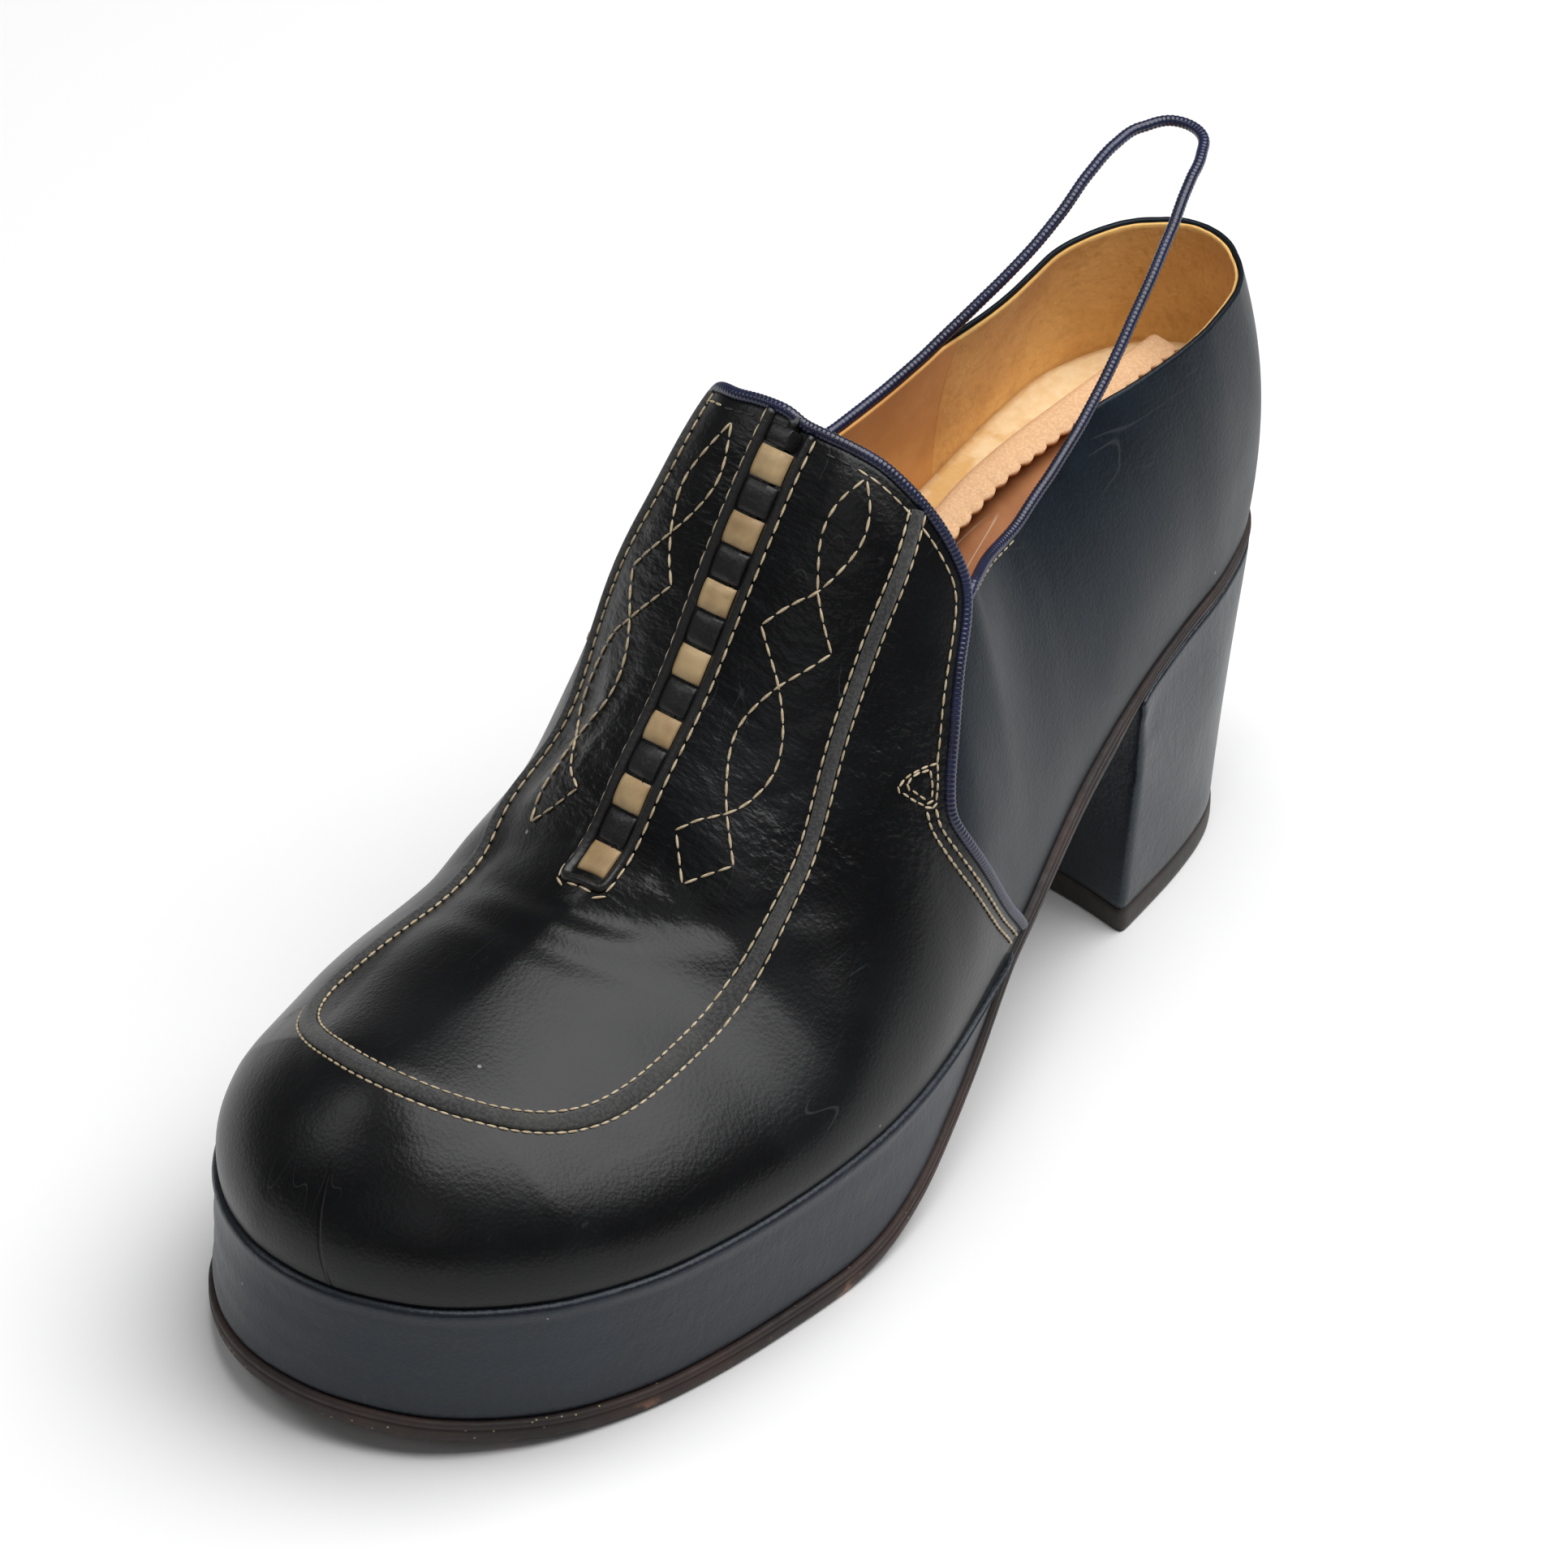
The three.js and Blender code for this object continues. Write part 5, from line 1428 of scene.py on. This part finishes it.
PLATFORM_LIP = 0.6
PLATFORM_TUCK = 1.2
WELT = 1.0
SEAT_THINNER = 2.0
SOLE_FORWARD = 2.4
SOLE_INWARD = 1.4
GAP = 0.3

platform_leather = polished(smooth_leather(
    "platform_leather", NAVY_DARK, NAVY_LIGHT, gloss=0.38, grain=0.5, dusty=0.03, wrinkle=0.8),
    0.04, 0.46, BLUE)


RING = 420
platform_top = inset_outline(RING, lambda y: 4.0 * smooth(14, 20, y) - PLATFORM_LIP)
platform_foot = inset_outline(
    RING, lambda y: PLATFORM_TUCK - PLATFORM_LIP + 3.4 * smooth(14, 20, y), SOLE_FORWARD, SOLE_INWARD)
outsole_edge = inset_outline(
    RING, lambda y: PLATFORM_TUCK - PLATFORM_LIP - WELT + 0.7 * smooth(40, 110, y), SOLE_FORWARD, SOLE_INWARD)


def outsole_under(x, y):
    """The sheet is thinner on the seat, where the heel's leather covers the foot of its edge."""
    return under_z(x, y) + SEAT_THINNER * smooth(62, 80, y)


def outsole_top(x, y):
    return np.minimum(under_z(x, y) + OUTSOLE, feather_z(x, y) - GAP)


def wall_rings(foot, top, low, high, profile):
    """Rings of a wall between two outlines; profile lists height shares and distances outward."""
    ahead = np.roll(top, -1, axis=0) - np.roll(top, 1, axis=0)
    ahead /= np.linalg.norm(ahead, axis=1, keepdims=True)
    outward = np.stack([ahead[:, 1], -ahead[:, 0]], axis=-1)
    if np.sum(outward * top) < 0:
        outward = -outward
    rings = []
    for share, out in profile:
        plan = foot + (top - foot) * share + outward * out
        rings.append(on_height(plan, low + (high - low) * share))
    return rings


tx, ty = platform_top.T
px_, py_ = platform_foot.T
low = outsole_top(px_, py_) + 0.1
high = np.maximum(feather_z(tx, ty) - GAP, low + 0.4)
profile = [(0.0, -1.2), (0.01, -0.3), (0.04, 0.0)] + [(s, 0.0) for s in np.linspace(0.08, 0.86, 26)]
profile += [(0.89, 0.15), (0.915, 0.45), (0.94, 0.62), (0.965, 0.55), (0.985, 0.2), (0.997, -0.5)]
profile += [(1.0, -1.6), (0.995, -3.0)]
platform_rings = wall_rings(platform_foot, platform_top, low, high, profile)


def wrinkle_field(x, y, z):
    """Long shallow folds round the front, as in leather stretched over a curve."""
    total = np.zeros_like(x)
    rng = np.random.default_rng(11)
    for _ in range(16):
        a, b, c = rng.uniform(0.02, 0.06), rng.uniform(0.02, 0.06), rng.uniform(0.5, 1.2)
        total += np.sin(a * x + b * y + c * z + rng.uniform(0, 6.28)) * rng.uniform(0.4, 1.0)
    strength = smooth(-0.30, -0.46, y / LENGTH) * (0.35 + 0.65 * smooth(30, -40, x)) + 0.15
    return total * 0.045 * strength


stack = np.stack(platform_rings)
normals = grid_normals(stack, closed=True)
if np.sum(normals[10] * np.concatenate([platform_top, np.zeros((RING, 1))], axis=-1)) < 0:
    normals = -normals
rows_share = np.array([p[0] for p in profile])[:, None]
on_wall = (rows_share > 0.03) * (rows_share < 0.9)
wrinkled = stack + normals * (wrinkle_field(*np.moveaxis(stack, -1, 0)) * on_wall)[..., None]
platform = rings_piece("platform_cover", list(wrinkled), platform_leather)
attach(platform, "root")
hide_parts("platform")

# Outsole
# Dark brown sole leather in one sheet, with a rounded edge, worn to tan at its lower corner, and dots
# of dried cement along the top of the edge.

sole_leather = Finish("sole_leather")
sz = sole_leather.axes()[2]
sole_grain = sole_leather.noise(300.0, detail=4.0)
sole_cloud = sole_leather.noise(30.0, detail=3.0)
sole_colour = sole_leather.mix(sole_cloud.between(0.35, 0.7), (0.012, 0.0065, 0.0055), (0.036, 0.0165, 0.012))
worn = sole_leather.noise(110.0, detail=3.0, shift=(4, 1, 2)).between(0.56, 0.64)
worn = worn * (1 - sz.between(0.0012, 0.0040))
cement = dull_spots(sole_leather, 620.0, 0.55) * sz.between(0.0046, 0.0056) * (1 - sz.between(0.0078, 0.0088))
sole_colour = sole_leather.mix(worn * 0.7, sole_colour, (0.32, 0.15, 0.085))
sole_colour = sole_leather.mix(cement * 0.8, sole_colour, (0.42, 0.34, 0.18))
sole_leather.finish(sole_colour, 0.5 + sole_grain * 0.25, sole_leather.bump(sole_grain, 0.0003))

ox, oy = outsole_edge.T
under = outsole_under(ox, oy)
upper_side = outsole_top(ox, oy)
edge_profile = [
    (0.0, -3.0), (0.0, -1.4), (0.03, -0.7), (0.12, -0.25), (0.3, 0.0), (0.5, 0.05), (0.62, 0.0),
    (0.66, -0.25), (0.70, -0.25), (0.74, 0.0), (0.88, 0.0), (0.96, -0.2), (1.0, -0.8), (1.0, -3.0),
]
outsole_rings = wall_rings(outsole_edge, outsole_edge, under, upper_side, edge_profile)


def curved_fill(ring, height):
    out = []
    for share in (0.85, 0.65, 0.4, 0.1):
        y = np.clip(ring[:, 1], FAN_TOE * LENGTH, FAN_HEEL * LENGTH)
        q = np.stack([ring[:, 0] * share, y + (ring[:, 1] - y) * share], axis=-1)
        out.append(on_height(q, height(q[:, 0], q[:, 1])))
    return out


outsole_stack = np.stack([
    *curved_fill(outsole_rings[0], outsole_under)[::-1], *outsole_rings,
    *curved_fill(outsole_rings[-1], outsole_top),
])
outsole_faces = grid_faces(len(outsole_stack), RING, closed=True)
outsole_faces += [list(range(RING))[::-1], [(len(outsole_stack) - 1) * RING + k for k in range(RING)]]
outsole = make_mesh("outsole_sheet", outsole_stack.reshape(-1, 3), outsole_faces, sole_leather.material)
clean(outsole)
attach(outsole, "root")
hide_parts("outsole")

# Heel
# Tall block wrapped in the same navy leather, hollow at the front, on a hard brown top lift.

HEEL_WIDTH = 62
HEEL_DEPTH = 70
HEEL_FRONT = 0.259 * LENGTH
BREAST_HOLLOW = 5
TOP_LIFT = 6
SEAT_Z = 1.1 * (PLATFORM_HEIGHT + SEAT_RISE)
HEEL = np.array([  # seat x and y, floor x and y, from the outer front corner round the back
    (0.520, 0.085, 0.505, -0.030), (0.475, 0.340, 0.455, 0.300), (0.415, 0.580, 0.385, 0.525),
    (0.312, 0.795, 0.275, 0.660), (0.140, 0.928, 0.120, 0.725), (-0.032, 0.962, -0.032, 0.740),
    (-0.190, 0.925, -0.180, 0.720), (-0.325, 0.800, -0.320, 0.655), (-0.430, 0.590, -0.440, 0.525),
    (-0.450, 0.320, -0.500, 0.325), (-0.430, -0.043, -0.440, -0.100),
])


def heel_ring(share, out=0.0):
    """Ring of the heel at a height between its floor (0) and its seat (1)."""
    seat = HEEL[:, :2] * (HEEL_WIDTH, HEEL_DEPTH) + (0, HEEL_FRONT)
    floor = HEEL[:, 2:] * (HEEL_WIDTH, HEEL_DEPTH) + (0, HEEL_FRONT)
    corners = floor + (seat - floor) * share
    around = rounded(corners, 120, closed=False)
    t = np.arange(1, 40) / 40
    front = corners[-1] + (corners[0] - corners[-1]) * t[:, None]
    front[:, 1] += BREAST_HOLLOW * np.sin(math.pi * t)
    ring = np.concatenate([around, front])
    ahead = np.roll(ring, -1, axis=0) - np.roll(ring, 1, axis=0)
    ahead /= np.linalg.norm(ahead, axis=1, keepdims=True)
    outward = np.stack([ahead[:, 1], -ahead[:, 0]], axis=-1)
    centre = ring.mean(axis=0)
    if np.sum(outward * (ring - centre)) < 0:
        outward = -outward
    for _ in range(2):
        ring = 0.5 * ring + 0.25 * (np.roll(ring, 1, axis=0) + np.roll(ring, -1, axis=0))
    return ring + outward * out


def under_edge(plan, level):
    """Towards the seat, draws in whatever would stand out past the outsole's edge."""
    gaps = plan[:, None] - outsole_edge[None]
    nearest = outsole_edge[np.argmin(np.sum(gaps**2, axis=-1), axis=1)]
    middle = plan.mean(axis=0)
    stands_out = np.sum((plan - nearest) * (nearest - middle), axis=1) > 0
    move = (nearest - plan) * (stands_out * smooth(0.4, 0.97, level))[:, None]
    for _ in range(6):
        move = 0.5 * move + 0.25 * (np.roll(move, 1, axis=0) + np.roll(move, -1, axis=0))
    return plan + move


def heel_surface():
    """Rings of the shaft, each point at its own height below the sloping seat."""
    levels = np.linspace(0, 1, 40)
    table_of_rings = np.stack([heel_ring(s) for s in levels])
    floor = TOP_LIFT + 0.15
    rings = []
    for k, level in enumerate(levels):
        share = np.full(table_of_rings.shape[1], level * 0.8)
        for _ in range(8):
            at = share * (len(levels) - 1)
            i = np.clip(np.floor(at).astype(int), 0, len(levels) - 2)
            f = (at - i)[:, None]
            index = np.arange(table_of_rings.shape[1])
            plan = table_of_rings[i, index] * (1 - f) + table_of_rings[i + 1, index] * f
            roof = outsole_under(plan[:, 0], plan[:, 1]) - 0.25
            z = floor + (roof - floor) * level
            share = np.clip((z - floor) / (SEAT_Z - floor), 0, 1)
        rings.append(on_height(under_edge(plan + (plan - plan.mean(axis=0)) * (0.028 * level**2), level), z))
    return np.stack(rings)


def flat_ends(grid, name, material):
    """Closes a stack of rings with a fan of quads towards the middle of each end."""
    def fill(ring, shares=(0.97, 0.8, 0.5, 0.15)):
        centre = ring.mean(axis=0)
        out = []
        for share in shares:
            q = centre + (ring - centre) * share
            q[:, 2] = ring[:, 2] + (centre[2] - ring[:, 2]) * (1 - share)
            out.append(q)
        return out
    stack = np.stack([*fill(grid[0])[::-1], *grid, *fill(grid[-1])])
    n = stack.shape[1]
    faces = grid_faces(len(stack), n, closed=True)
    faces += [list(range(n))[::-1], [(len(stack) - 1) * n + k for k in range(n)]]
    piece = make_mesh(name, stack.reshape(-1, 3), faces, material)
    clean(piece)
    return piece


heel_leather = polished(smooth_leather(
    "heel_leather", QUARTER_DARK, (0.0130, 0.0170, 0.0270), gloss=0.34, grain=0.5, dusty=0.014, wrinkle=0.6),
    0.05, 0.66, BLUE)
heel_cover = flat_ends(heel_surface(), "heel_cover", heel_leather)
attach(heel_cover, "root")
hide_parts("heel_block")

lift_material = Finish("top_lift")
lift_noise = lift_material.noise(220.0, detail=4.0)
lift_wear = lift_material.noise(60.0, detail=2.0).between(0.62, 0.72)
lift_colour = lift_material.mix(lift_noise.between(0.3, 0.7), (0.012, 0.009, 0.008), (0.030, 0.020, 0.016))
lift_material.finish(lift_material.mix(lift_wear * 0.5, lift_colour, (0.20, 0.10, 0.055)), 0.55,
                     lift_material.bump(lift_noise, 0.0003))
lift_heights = [(0.0, -0.5), (0.3, 0.0), (1.5, 0.15), (3.0, 0.2), (4.6, 0.2), (5.6, 0.1), (TOP_LIFT, -0.4)]
lift_grid = np.stack([on_height(heel_ring(0, out), z) for z, out in lift_heights])
top_lift = flat_ends(lift_grid, "top_lift_block", lift_material.material)
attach(top_lift, "root")
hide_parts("top_lift")

# Floor, light and camera
# A pale seamless ground, a broad soft light overhead and a camera at the photograph's angle.

bpy.ops.mesh.primitive_plane_add(size=8)
ground = bpy.context.object
ground.name = "ground"
paper = Finish("ground_paper")
paper.finish((0.86, 0.86, 0.86), 0.7)
ground.data.materials.append(paper.material)

EYE = (823.9, -1012.4, 1066.4)
AIM = (0, 2, 66)
LENS = 192


def look_at(thing, eye, aim):
    thing.location = eye
    thing.rotation_euler = (Vector(aim) - Vector(eye)).to_track_quat("-Z", "Y").to_euler()


camera = bpy.data.objects.new("camera", bpy.data.cameras.new("camera"))
bpy.context.collection.objects.link(camera)
camera.data.lens = LENS
camera.data.sensor_width = 36
camera.data.sensor_fit = "HORIZONTAL"
camera.data.clip_end = 20
look_at(camera, to_frame(EYE), to_frame(AIM))
bpy.context.scene.camera = camera


def softbox(name, eye, aim, size, power, colour=(1, 1, 1)):
    lamp = bpy.data.lights.new(name, "AREA")
    lamp.shape = "RECTANGLE"
    lamp.size, lamp.size_y = size
    lamp.energy = power
    lamp.color = colour
    box = bpy.data.objects.new(name, lamp)
    bpy.context.collection.objects.link(box)
    look_at(box, Vector(eye), Vector(aim))


softbox("overhead", (0.34, 0.38, 1.5), (0, 0.02, 0.05), (1.6, 1.6), 37)
softbox("front", (0.70, -1.30, 1.20), (0, 0, 0.06), (0.9, 0.9), 1.4)
softbox("front_left", (-0.95, -0.65, 1.35), (0, -0.05, 0.06), (0.6, 0.6), 3.5)

world = bpy.data.worlds.new("studio")
bpy.context.scene.world = world
world.use_nodes = True
world.node_tree.nodes["Background"].inputs[0].default_value = (1, 1, 1, 1)
world.node_tree.nodes["Background"].inputs[1].default_value = 0.12
bpy.context.scene.view_settings.view_transform = "Standard"
